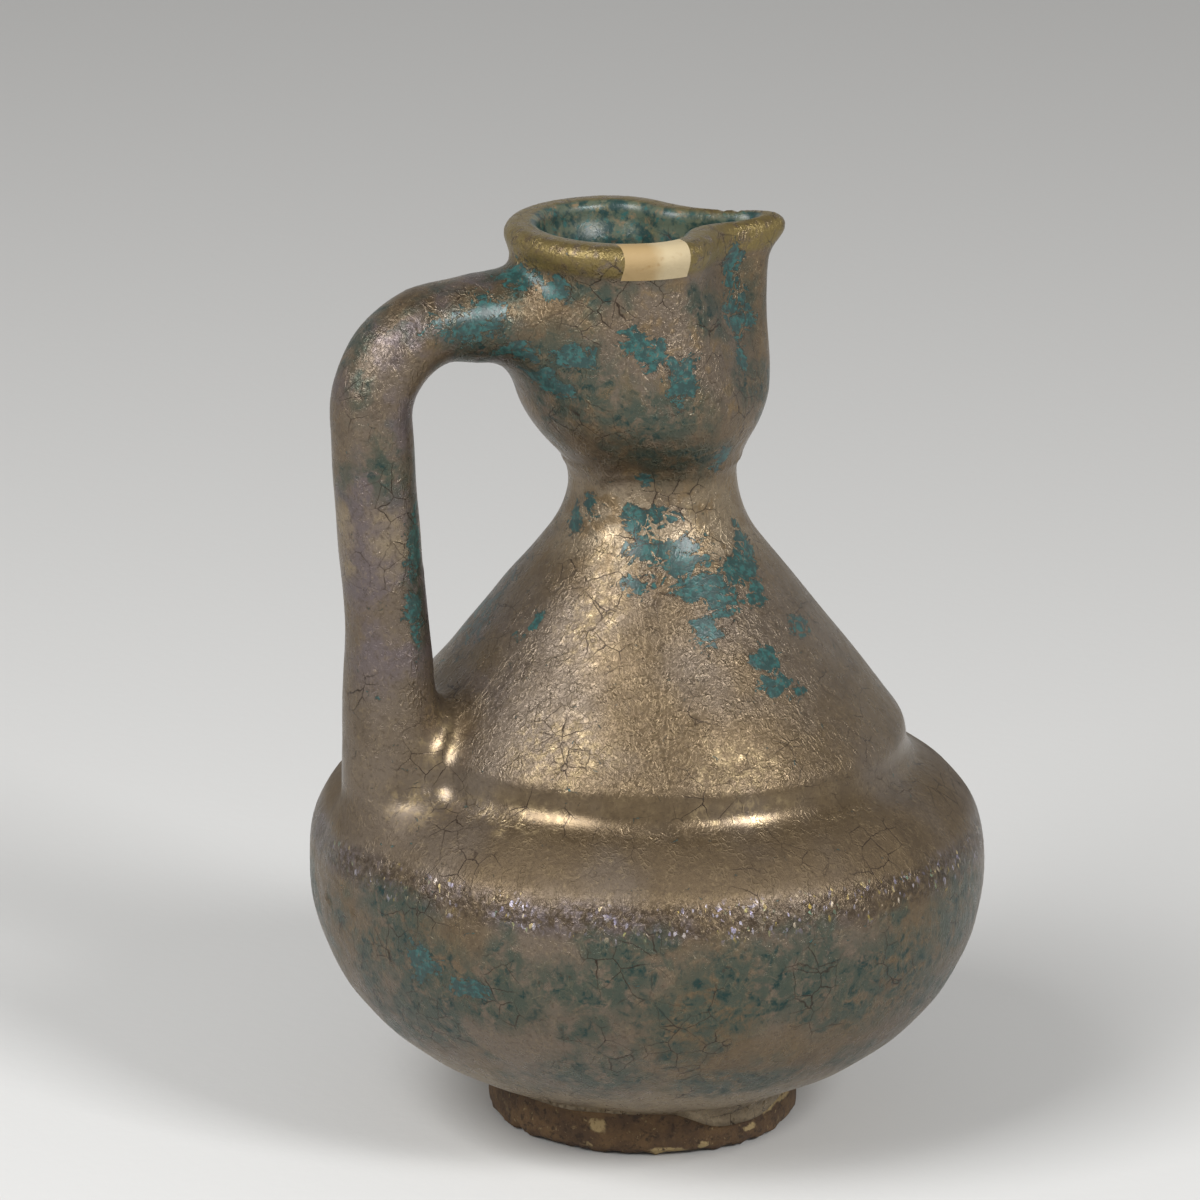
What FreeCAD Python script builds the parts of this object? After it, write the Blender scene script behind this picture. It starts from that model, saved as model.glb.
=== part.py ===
import FreeCAD, Part
import math
import os

# A small glazed ewer: round belly on a foot ring, conical shoulder, narrow neck, cup mouth
# with a pinched spout, and one rod handle. Millimetres and degrees. The origin is the centre
# of the foot's resting plane, +Z is up, the spout points near +X and the handle is on -X.

Vector = FreeCAD.Vector
AXIS_POINT = Vector(0, 0, 0)
UP = Vector(0, 0, 1)

# Clay walls and the glaze on them
belly_wall = 5.0
cone_wall = 4.6
cup_wall = 4.2
glaze_thickness = 0.6
lining_thickness = 0.5

# Foot ring, luted on under the bowl round the plug of its base
foot_radius = 28.0
foot_bore_radius = 19.0
foot_wear_radius = 2.0
foot_inner_wear = 1.2
foot_recess_depth = 5.0
base_pad_land = 1.6
base_pad_radius = foot_bore_radius + base_pad_land
glaze_stop_drop = 1.14

# Belly: two moulded bowls, rim to rim, each a superellipse in section
belly_radius = 59.8
belly_height = 48.5
bowl_base_height = 6.1
bowl_depth = belly_height - bowl_base_height
bowl_fullness = 2.2
floor_thickness = 7.5
floor_height = foot_recess_depth + floor_thickness
bowl_lap = 3.0

# Cone on the shoulder: a rounded base over the crease, straight flank, concave neck.
# The shoulder's curve would go on above the crease by its crown.
crease_height = 68.1
shoulder_crown = 5.1
shoulder_rise = crease_height - belly_height + shoulder_crown
shoulder_fullness = 2.6
cone_base_step = 0.95
cone_base_rise = 5.4
cone_base_height = crease_height + cone_base_rise
cone_base_round = 8.0
cone_seat_depth = 3.2
cone_seat_land = 2.2
neck_radius = 14.0
neck_length = 10.4
neck_hollow_round = 22.0
glaze_pool_round = 2.4

# Mouth cup
cup_height = 124.0
neck_corner_height = cup_height - neck_length
cup_base_step = 0.4
cup_base_radius = neck_radius + cup_base_step
cup_belly_rise = 11.5
cup_belly_height = cup_height + cup_belly_rise
cup_belly_radius = 20.6
cup_flank_fullness = 1.75
cup_rise = 40.3
lip_height = cup_height + cup_rise
lip_radius = 19.6
lip_roll = 1.5
lip_drop = 5.8
lip_flare = 1.5
cup_waist_height = lip_height - lip_drop
cup_waist_radius = lip_radius - lip_flare
cup_lap = 2.5
mouth_shift = -7.0
mouth_shift_power = 0.6

# Spout: a keel that grows up the cup's front, with the lip pinched in beside it. It is set
# a little off the line of the handle, as a hand leaves it.
spout_turn = -8.0
spout_reach = 9.4
spout_growth = 1.1
spout_spread_top = 12.3
spout_spread_base = 34.0
pinch_depth = 2.9
pinch_growth = 1.3
pinch_angle = 38.0
pinch_spread = 24.0

# Handle: one pulled rod, slightly wider than thick. It stands in from the belly's widest
# line, springs from below the lip and comes down on the shoulder at the crease.
handle_thickness = 12.6
handle_width = 14.2
handle_root_drop = 13.7
handle_root_height = lip_height - handle_root_drop
handle_rise = 1.6
handle_elbow_inset = 3.4
handle_elbow_reach = belly_radius - handle_elbow_inset
handle_elbow_round = 15.6
handle_knee_rise = 25.9
handle_knee_height = crease_height + handle_knee_rise
handle_knee_inset = 8.4
handle_knee_reach = belly_radius - handle_knee_inset
handle_knee_round = 90.0
handle_foot_inset = 8.9
handle_foot_reach = belly_radius - handle_foot_inset
handle_foot_sink = 14.1
handle_foot_height = crease_height - handle_foot_sink

# Clay pads that the handle is luted with
upper_wad_length = 7.4
upper_wad_reach = lip_radius - mouth_shift + upper_wad_length
upper_wad_rise = 25.6
upper_wad_width = 22.0
upper_wad_drop = 4.0
lower_wad_rise = 19.9
lower_wad_height = crease_height + lower_wad_rise
lower_wad_thickness = 27.0
lower_wad_width = 25.0
lower_wad_inset = 2.1
lower_wad_back = belly_radius - lower_wad_inset
wad_edge = 0.35
wad_steps = 4
upper_wad_swell = 1.6
lower_wad_swell = 1.3

# Pale filled loss on the near side of the lip, placed from the mouth's centre and the lip
fill_behind = 8.3
fill_ahead = 3.8
fill_drop = 3.9
fill_depth = 9.0

# How finely curves given by a formula are sampled
curve_steps = 9
curve_nudge = 0.001
search_steps = 60
roll_steps = 4
half_section_steps = 12
section_crowding = 1.5
cup_steps = 3


def fraction(step, steps):
    return step / float(steps)


def in_plane(point):
    """A (radius, height) pair as a point of the half plane that is turned about the axis."""
    return Vector(point[0], 0, point[1])


def line(start, end):
    return Part.makeLine(in_plane(start), in_plane(end))


def spline(curve, start, end):
    """An edge through points of a formula curve, with the curve's own end directions."""
    nudge = (end - start) * curve_nudge
    stations = [start + (end - start) * fraction(i, curve_steps) for i in range(curve_steps + 1)]
    edge = Part.BSplineCurve()
    edge.interpolate(
        Points=[in_plane(curve(t)) for t in stations],
        InitialTangent=in_plane(curve(start + nudge)) - in_plane(curve(start)),
        FinalTangent=in_plane(curve(end)) - in_plane(curve(end - nudge)),
    )
    return edge.toShape()


def turned(edges):
    """The solid that a closed outline makes when it is turned about the axis."""
    face = Part.Face(Part.Wire(Part.__sortEdges__(edges)))
    return face.revolve(AXIS_POINT, UP, 360)


def superellipse(radius, height, fullness, centre_height, direction):
    """A quarter superellipse by polar angle: 0 at the equator, 90 degrees on the axis."""

    def curve(angle):
        across = math.cos(math.radians(angle))
        along = math.sin(math.radians(angle))
        reach = ((across / radius) ** fullness + (along / height) ** fullness) ** (-1 / fullness)
        return reach * across, centre_height + direction * reach * along

    return curve


def angle_at_radius(curve, wanted):
    """The polar angle at which a superellipse has come in to a wanted radius."""
    low = 0.0
    high = 90.0
    for _ in range(search_steps):
        middle = (low + high) / 2
        if curve(middle)[0] > wanted:
            low = middle
        else:
            high = middle
    return (low + high) / 2


def angle_at_height(curve, wanted, centre_height):
    """The polar angle at which a superellipse has come up or down to a wanted height."""
    low = 0.0
    high = 90.0
    for _ in range(search_steps):
        middle = (low + high) / 2
        if abs(curve(middle)[1] - centre_height) < abs(wanted - centre_height):
            low = middle
        else:
            high = middle
    return (low + high) / 2


# ---------------------------------------------------------------- outlines of the belly


def bowl_outside(offset):
    return superellipse(
        belly_radius + offset, bowl_depth + offset, bowl_fullness, belly_height, -1
    )


def shoulder_outside(offset):
    return superellipse(
        belly_radius + offset, shoulder_rise + offset, shoulder_fullness, belly_height, 1
    )


def crease_point():
    """Where the shoulder meets the foot of the cone, on the clay's outside."""
    curve = shoulder_outside(0)
    return curve(angle_at_height(curve, crease_height, belly_height))


def offset_corner(before, corner, after, offset):
    """A corner of a broken line moved out with both of its runs."""
    first = Vector(corner[0] - before[0], corner[1] - before[1], 0).normalize()
    second = Vector(after[0] - corner[0], after[1] - corner[1], 0).normalize()
    normal_first = Vector(first.y, -first.x, 0)
    normal_second = Vector(second.y, -second.x, 0)
    middle = normal_first + normal_second
    shift = middle * (2 * offset / middle.Length ** 2)
    return corner[0] + shift.x, corner[1] + shift.y


def rounded(before, corner, after, radius):
    """The points where a rounding of a corner starts, is half way and ends."""
    back = Vector(before[0] - corner[0], before[1] - corner[1], 0).normalize()
    ahead = Vector(after[0] - corner[0], after[1] - corner[1], 0).normalize()
    half = back.getAngle(ahead) / 2
    tangent = radius / math.tan(half)
    inward = (back + ahead).normalize()
    start = (corner[0] + back.x * tangent, corner[1] + back.y * tangent)
    end = (corner[0] + ahead.x * tangent, corner[1] + ahead.y * tangent)
    depth = radius / math.sin(half) - radius
    middle = (corner[0] + inward.x * depth, corner[1] + inward.y * depth)
    return start, middle, end


def arc(points):
    start, middle, end = points
    return Part.Arc(in_plane(start), in_plane(middle), in_plane(end)).toShape()


def cone_corners():
    crease = crease_point()
    return [
        crease,
        (crease[0] + cone_base_step, cone_base_height),
        (neck_radius, neck_corner_height),
        (neck_radius, cup_height),
    ]


def cone_runs(offset, foot):
    """The cone's outline from its foot point to the neck's top, moved out by an offset."""
    crease, base, neck, top = cone_corners()
    base_out = offset_corner(crease, base, neck, offset)
    neck_out = offset_corner(base, neck, top, offset)
    top_out = (neck_radius + offset, cup_height)
    base_arc = rounded(foot, base_out, neck_out, cone_base_round + offset)
    neck_arc = rounded(base_out, neck_out, top_out, neck_hollow_round - offset)
    return [
        line(foot, base_arc[0]),
        arc(base_arc),
        line(base_arc[2], neck_arc[0]),
        arc(neck_arc),
        line(neck_arc[2], top_out),
    ]


def inner_seat():
    """The inner end of the joint between the upper bowl and the cone."""
    outer_radius = crease_point()[0] + cone_base_step
    return outer_radius - cone_wall, crease_height - cone_seat_depth


def bowl_inside():
    return superellipse(
        belly_radius - belly_wall, belly_height - floor_height, bowl_fullness, belly_height, -1
    )


def shoulder_inside():
    """The inside of the upper bowl, which ends at the inner end of the cone's seat."""
    radius = belly_radius - belly_wall
    start_height = belly_height + bowl_lap
    seat = inner_seat()
    part = (1 - (seat[0] / radius) ** shoulder_fullness) ** (1 / shoulder_fullness)
    rise = (seat[1] - start_height) / part
    return superellipse(radius, rise, shoulder_fullness, start_height, 1)


# ---------------------------------------------------------------- turned and moulded pieces


def make_foot_ring():
    curve = bowl_outside(0)
    pad_angle = angle_at_radius(curve, base_pad_radius)
    foot_angle = angle_at_radius(curve, foot_radius)
    top = curve(foot_angle)
    pad = curve(pad_angle)
    edge = rounded(
        (foot_bore_radius, 0), (foot_radius, 0), (foot_radius, top[1]), foot_wear_radius
    )
    inner_edge = (foot_bore_radius + foot_inner_wear, 0)
    inner_side = (foot_bore_radius, foot_inner_wear)
    return turned([
        line(inner_edge, edge[0]),
        arc(edge),
        line(edge[2], top),
        spline(curve, foot_angle, pad_angle),
        line(pad, (foot_bore_radius, pad[1])),
        line((foot_bore_radius, pad[1]), inner_side),
        line(inner_side, inner_edge),
    ])


def make_lower_bowl():
    curve = bowl_outside(0)
    inside = bowl_inside()
    pad_angle = angle_at_radius(curve, base_pad_radius)
    pad = curve(pad_angle)
    foot_angle = angle_at_radius(curve, foot_radius)
    inner_radius = belly_radius - belly_wall
    lap_radius = belly_radius - belly_wall / 2
    lap_top = belly_height + bowl_lap
    floor_point = (0, floor_height)
    return turned([
        line((0, foot_recess_depth), (foot_bore_radius, foot_recess_depth)),
        line((foot_bore_radius, foot_recess_depth), (foot_bore_radius, pad[1])),
        line((foot_bore_radius, pad[1]), pad),
        spline(curve, pad_angle, foot_angle),
        spline(curve, foot_angle, 0),
        line((belly_radius, belly_height), (lap_radius, belly_height)),
        line((lap_radius, belly_height), (lap_radius, lap_top)),
        line((lap_radius, lap_top), (inner_radius, lap_top)),
        line((inner_radius, lap_top), (inner_radius, belly_height)),
        spline(inside, 0, 90),
        line(floor_point, (0, foot_recess_depth)),
    ])


def make_upper_bowl():
    outside = shoulder_outside(0)
    inside = shoulder_inside()
    crease = crease_point()
    seat = inner_seat()
    seat_radius = crease[0] - cone_seat_land
    crease_angle = angle_at_height(outside, crease_height, belly_height)
    seat_angle = angle_at_radius(inside, seat[0])
    inner_radius = belly_radius - belly_wall
    lap_radius = belly_radius - belly_wall / 2
    lap_top = belly_height + bowl_lap
    return turned([
        line((lap_radius, belly_height), (belly_radius, belly_height)),
        spline(outside, 0, crease_angle),
        line(crease, (seat_radius, crease[1])),
        line((seat_radius, crease[1]), (seat_radius, seat[1])),
        line((seat_radius, seat[1]), inside(seat_angle)),
        spline(inside, seat_angle, 0),
        line((inner_radius, lap_top), (lap_radius, lap_top)),
        line((lap_radius, lap_top), (lap_radius, belly_height)),
    ])


def neck_lap_radius():
    """Mid wall at the neck's top, where a tongue of the neck stands up inside the cup."""
    return neck_radius - cone_wall / 2


def make_shoulder_cone():
    crease = crease_point()
    seat = inner_seat()
    seat_radius = crease[0] - cone_seat_land
    inner_top_radius = neck_radius - cone_wall
    tongue_top = cup_height + cup_lap
    outside = cone_runs(0, crease)
    inside_foot = (seat[0], seat[1])
    inside = cone_runs(-cone_wall, inside_foot)
    return turned(outside + inside + [
        line(crease, (seat_radius, crease[1])),
        line((seat_radius, crease[1]), (seat_radius, seat[1])),
        line((seat_radius, seat[1]), inside_foot),
        line((neck_radius, cup_height), (neck_lap_radius(), cup_height)),
        line((neck_lap_radius(), cup_height), (neck_lap_radius(), tongue_top)),
        line((neck_lap_radius(), tongue_top), (inner_top_radius, tongue_top)),
        line((inner_top_radius, tongue_top), (inner_top_radius, cup_height)),
    ])


# ---------------------------------------------------------------- mouth cup and spout


def cup_radius(height, offset):
    """The round part of the cup's outside: base, belly, waist under the lip, rolled lip."""
    if height <= cup_belly_height:
        down = (cup_belly_height - height) / (cup_belly_height - cup_height)
        swell = 1 - down ** cup_flank_fullness
        return cup_base_radius + (cup_belly_radius - cup_base_radius) * swell + offset
    if height <= cup_waist_height:
        part = (height - cup_belly_height) / (cup_waist_height - cup_belly_height)
        ease = (1 - math.cos(math.pi * part)) / 2
        return cup_belly_radius + (cup_waist_radius - cup_belly_radius) * ease + offset
    part = min(1, (height - cup_waist_height) / (lip_height - cup_waist_height))
    ease = (1 - math.cos(math.pi * part)) / 2
    return cup_waist_radius + (lip_radius - cup_waist_radius) * ease + offset


def up_the_cup(height):
    """0 at the cup's foot and 1 at the lip."""
    return min(1, max(0, (height - cup_height) / (lip_height - cup_height)))


def section_angles():
    """Angles round a section, closer together towards the spout's keel at 0."""
    steps = range(half_section_steps + 1)
    half = [180.0 * fraction(i, half_section_steps) ** section_crowding for i in steps]
    return half + [360.0 - angle for angle in reversed(half[1:-1])]


def cup_section(height, radius):
    """A level closed section: a circle, with the spout's keel and the pinch beside it."""
    share = up_the_cup(height)
    centre = mouth_shift * share ** mouth_shift_power
    keel = spout_reach * share ** spout_growth
    spread = spout_spread_base + (spout_spread_top - spout_spread_base) * share
    pinch = pinch_depth * share ** pinch_growth
    points = []
    for angle in section_angles():
        away = min(angle, 360.0 - angle)
        bulge = keel * math.exp(-((away / spread) ** 2))
        dip = pinch * math.exp(-(((away - pinch_angle) / pinch_spread) ** 2))
        reach = radius + bulge - dip
        turn = math.radians(angle + spout_turn)
        points.append(Vector(centre + reach * math.cos(turn), reach * math.sin(turn), height))
    curve = Part.BSplineCurve()
    curve.interpolate(Points=points, PeriodicFlag=True)
    return Part.Wire([curve.toShape()])


def cup_heights():
    """Heights of the sections below the lip's roll."""
    levels = [cup_height, cup_belly_height, cup_waist_height, lip_height]
    heights = []
    for low, high in zip(levels[:-1], levels[1:]):
        heights += [low + (high - low) * fraction(i, cup_steps) for i in range(cup_steps)]
    return heights + [lip_height]


def roll_stations(roll):
    """Height and inset of a quarter round of a given radius, above the lip's widest line."""
    steps = [math.pi / 2 * fraction(i, roll_steps) for i in range(1, roll_steps + 1)]
    return [(lip_height + roll * math.sin(t), roll * (1 - math.cos(t))) for t in steps]


def cup_outside(offset):
    """The cup as if it were solid, moved out by an offset."""
    sections = [cup_section(z, cup_radius(z, offset)) for z in cup_heights()]
    for height, inset in roll_stations(lip_roll + offset):
        sections.append(cup_section(height, lip_radius + offset - inset))
    return Part.makeLoft(sections, True)


def hollow_sections(inset):
    """Sections of the cup's hollow up to the crest, drawn in by an inset."""
    sections = [cup_section(z, cup_radius(z, -cup_wall - inset)) for z in cup_heights()]
    for height, flare in roll_stations(lip_roll):
        sections.append(cup_section(height, lip_radius - cup_wall - inset + flare))
    return sections


def cup_hollow(inset):
    return Part.makeLoft(hollow_sections(inset), True)


def cup_hollow_and_above():
    """The cup's hollow, carried straight up past the crest and its glaze."""
    crest = hollow_sections(0)[-1]
    above = Part.Face(crest).extrude(UP * (2 * lip_roll))
    return cup_hollow(0).fuse(above)


def neck_tongue():
    """The space that the neck's tongue takes up inside the foot of the cup."""
    return Part.makeCylinder(neck_lap_radius(), cup_lap, UP * cup_height)


def make_mouth_cup():
    return cup_outside(0).cut(cup_hollow_and_above()).cut(neck_tongue())


# ---------------------------------------------------------------- handle and its pads


def handle_path():
    """The rod's centre line: out of the cup, round the elbow, down to the shoulder."""
    root = (mouth_shift / 2 - cup_belly_radius / 2, handle_root_height)
    elbow = (-handle_elbow_reach, handle_root_height + handle_rise)
    knee = (-handle_knee_reach, handle_knee_height)
    foot = (-handle_foot_reach, handle_foot_height)
    elbow_arc = rounded(root, elbow, knee, handle_elbow_round)
    knee_arc = rounded(elbow, knee, foot, handle_knee_round)
    return Part.Wire([
        line(root, elbow_arc[0]),
        arc(elbow_arc),
        line(elbow_arc[2], knee_arc[0]),
        arc(knee_arc),
        line(knee_arc[2], foot),
    ])


def oval(centre, normal, across, along):
    """An oval wire: its across size lies along Y, its along size square to that."""
    if across >= along:
        shape = Part.Ellipse(Vector(0, 0, 0), across / 2, along / 2)
        turn = FreeCAD.Rotation(Vector(0, 1, 0), Vector(0, 0, 0), normal, "ZXY")
    else:
        shape = Part.Ellipse(Vector(0, 0, 0), along / 2, across / 2)
        turn = FreeCAD.Rotation(normal.cross(Vector(0, 1, 0)), Vector(0, 0, 0), normal, "ZXY")
    edge = shape.toShape()
    edge.Placement = FreeCAD.Placement(centre, turn)
    return Part.Wire([edge])


def handle_rod(offset):
    path = handle_path()
    start = path.Edges[0]
    normal = start.tangentAt(start.FirstParameter)
    ring = oval(
        start.valueAt(start.FirstParameter),
        normal,
        handle_width + 2 * offset,
        handle_thickness + 2 * offset,
    )
    return path.makePipeShell([ring], True, False)


def upper_wad_body(offset):
    """A flare of clay round the rod's root, wider and lower towards the cup."""
    start_reach = upper_wad_reach + offset
    end_reach = upper_wad_reach - handle_thickness
    middle = handle_root_height + handle_rise / 2
    sections = []
    for i in range(wad_steps + 1):
        part = fraction(i, wad_steps)
        swell = part ** upper_wad_swell
        across = handle_width + 2 * wad_edge + (upper_wad_width - handle_width) * swell
        along = handle_thickness + 2 * wad_edge + (upper_wad_rise - handle_thickness) * swell
        reach = start_reach + (end_reach - start_reach) * part
        centre = Vector(-reach, 0, middle - upper_wad_drop * swell)
        sections.append(oval(centre, Vector(1, 0, 0), across + 2 * offset, along + 2 * offset))
    return Part.makeLoft(sections, True)


def lower_wad_body(offset):
    """A flare of clay round the rod's foot, straight at the back, drawn over the cone's base."""
    start_height = lower_wad_height + offset
    sections = []
    for i in range(wad_steps + 1):
        part = fraction(i, wad_steps)
        swell = part ** lower_wad_swell
        across = handle_width + 2 * wad_edge + (lower_wad_width - handle_width) * swell
        along = handle_thickness + 2 * wad_edge + (lower_wad_thickness - handle_thickness) * swell
        height = start_height + (handle_foot_height - start_height) * part
        centre = Vector(along / 2 - lower_wad_back, 0, height)
        sections.append(oval(centre, Vector(0, 0, -1), across + 2 * offset, along + 2 * offset))
    return Part.makeLoft(sections, True)


# ---------------------------------------------------------------- glaze


def clay_foot_top():
    """The height at which the foot ring meets the clay of the bowl."""
    curve = bowl_outside(0)
    return curve(angle_at_radius(curve, foot_radius))[1]


def body_filled(offset):
    """Belly, cone and neck as one filled turned shape, from the glaze's stop line up."""
    bowl = bowl_outside(offset)
    shoulder = shoulder_outside(offset)
    foot_angle = angle_at_radius(bowl, foot_radius + offset)
    crease = crease_point()
    crease_angle = angle_at_radius(shoulder, crease[0] + offset)
    crease_out = shoulder(crease_angle)
    glaze_stop_height = clay_foot_top() - glaze_stop_drop
    body = turned([
        line((0, glaze_stop_height), (foot_radius + offset, glaze_stop_height)),
        line((foot_radius + offset, glaze_stop_height), bowl(foot_angle)),
        spline(bowl, foot_angle, 0),
        spline(shoulder, 0, crease_angle),
        line((neck_radius + offset, cup_height), (0, cup_height)),
        line((0, cup_height), (0, glaze_stop_height)),
    ] + cone_runs(offset, crease_out))
    return with_pooled_crease(body, crease_out[1]) if offset > 0 else body


def with_pooled_crease(body, height):
    """The glaze lies thicker in the crease, where it rounds the corner."""
    ring = [
        edge for edge in body.Edges
        if len(edge.Vertexes) == 1 and abs(edge.BoundBox.Center.z - height) < glaze_thickness / 4
    ]
    return body.makeFillet(glaze_pool_round, ring)


def all_outside(offset):
    """The whole ewer's filled outside above the foot, moved out by an offset."""
    return body_filled(offset).multiFuse([
        cup_outside(offset),
        handle_rod(offset),
        upper_wad_body(offset),
        lower_wad_body(offset),
    ])


def fill_block():
    """The block that bounds the filled loss on the near side of the lip."""
    near = -lip_radius - fill_depth / 2
    return Part.makeBox(
        fill_behind + fill_ahead,
        fill_depth,
        fill_depth,
        Vector(mouth_shift - fill_behind, near, lip_height - fill_drop),
    )


def make_glaze():
    """The outer coat, and the fill that stands in it where the lip has lost its glaze."""
    coat = all_outside(glaze_thickness).cut(all_outside(0)).cut(cup_hollow_and_above())
    return coat.cut(fill_block()), coat.common(fill_block())


def make_mouth_lining():
    return cup_hollow(0).cut(cup_hollow(lining_thickness)).cut(neck_tongue())


# ---------------------------------------------------------------- assembly


def make_parts():
    filled_body = body_filled(0)
    filled_cup = cup_outside(0)
    handle = handle_rod(0).cut(filled_body).cut(filled_cup)
    upper_wad = upper_wad_body(0).cut(handle_rod(0)).cut(filled_cup)
    lower_wad = lower_wad_body(0).cut(handle_rod(0)).cut(filled_body)
    outer_glaze, lip_fill = make_glaze()
    return {
        "foot_ring": make_foot_ring(),
        "lower_bowl": make_lower_bowl(),
        "upper_bowl": make_upper_bowl(),
        "shoulder_cone": make_shoulder_cone(),
        "mouth_cup": make_mouth_cup(),
        "handle": handle,
        "upper_handle_wad": upper_wad,
        "lower_handle_wad": lower_wad,
        "outer_glaze": outer_glaze,
        "mouth_lining": make_mouth_lining(),
        "lip_fill": lip_fill,
    }


def main():
    os.makedirs("parts", exist_ok=True)
    for name, shape in make_parts().items():
        shape.exportStep("parts/" + name + ".step")
        box = shape.BoundBox
        print(
            "%-17s solids %d valid %s volume %9.1f  x %7.2f %7.2f  y %7.2f %7.2f  z %7.2f %7.2f"
            % (name, len(shape.Solids), shape.isValid(), shape.Volume,
               box.XMin, box.XMax, box.YMin, box.YMax, box.ZMin, box.ZMax)
        )
    print("OK")


main()
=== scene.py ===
import math
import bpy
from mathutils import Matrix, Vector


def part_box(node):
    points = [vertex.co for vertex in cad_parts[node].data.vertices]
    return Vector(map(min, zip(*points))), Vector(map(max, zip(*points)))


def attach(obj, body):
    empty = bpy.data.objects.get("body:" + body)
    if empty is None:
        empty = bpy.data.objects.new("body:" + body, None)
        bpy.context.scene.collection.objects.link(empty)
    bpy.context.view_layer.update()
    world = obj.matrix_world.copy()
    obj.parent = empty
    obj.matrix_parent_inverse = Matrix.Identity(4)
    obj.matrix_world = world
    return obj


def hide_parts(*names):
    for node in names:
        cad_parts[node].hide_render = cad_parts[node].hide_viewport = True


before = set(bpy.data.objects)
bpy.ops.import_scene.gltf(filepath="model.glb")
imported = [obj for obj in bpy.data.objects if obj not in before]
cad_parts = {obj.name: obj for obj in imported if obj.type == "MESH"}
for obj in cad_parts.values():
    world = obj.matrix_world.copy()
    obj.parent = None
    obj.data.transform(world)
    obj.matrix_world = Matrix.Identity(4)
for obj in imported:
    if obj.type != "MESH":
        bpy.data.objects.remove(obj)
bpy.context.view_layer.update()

from types import SimpleNamespace

import bmesh
import bpy
import numpy as np
from bpy.props import FloatProperty, FloatVectorProperty, PointerProperty
from mathutils import Matrix, Vector

bl_info = {
    "name": "Weathered glazed ewer",
    "version": (1, 0, 0),
    "blender": (4, 5, 0),
    "location": "3D View > Sidebar > Ewer",
    "description": "Dresses the ewer's frame: glaze coat, filled lip, foot ring, bare clay and stage",
    "category": "Add Mesh",
}

MM = 0.001


# ---------------------------------------------------------------- sizes read from the frame


def frame_box(node):
    """A node's lowest and highest corners, in millimetres."""
    low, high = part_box(node)
    return [v / MM for v in low], [v / MM for v in high]


LOWER_BOWL = frame_box("lower_bowl")
UPPER_BOWL = frame_box("upper_bowl")
CUP = frame_box("mouth_cup")
COAT = frame_box("outer_glaze")
FILL = frame_box("lip_fill")


def length(name, about, default_mm, low_mm=0.0):
    """A size that a user may change, held in metres and shown in the scene's unit."""
    return FloatProperty(
        name=name, description=about, default=default_mm * MM, min=low_mm * MM, unit="LENGTH",
        precision=5,
    )


def angle(name, about, degrees):
    return FloatProperty(
        name=name, description=about, default=math.radians(degrees), subtype="ANGLE"
    )


def plain(name, about, default, low=0.0, high=100.0):
    return FloatProperty(name=name, description=about, default=default, min=low, max=high)


def sRGB(code):
    """A hex colour such as 8A7A66 as linear red, green and blue."""
    shares = [int(code[i:i + 2], 16) / 255 for i in (0, 2, 4)]
    return [c / 12.92 if c <= 0.04045 else ((c + 0.055) / 1.055) ** 2.4 for c in shares]


def colour(name, about, code):
    return FloatVectorProperty(
        name=name, description=about, default=sRGB(code), subtype="COLOR", size=3, min=0, max=1
    )


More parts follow.
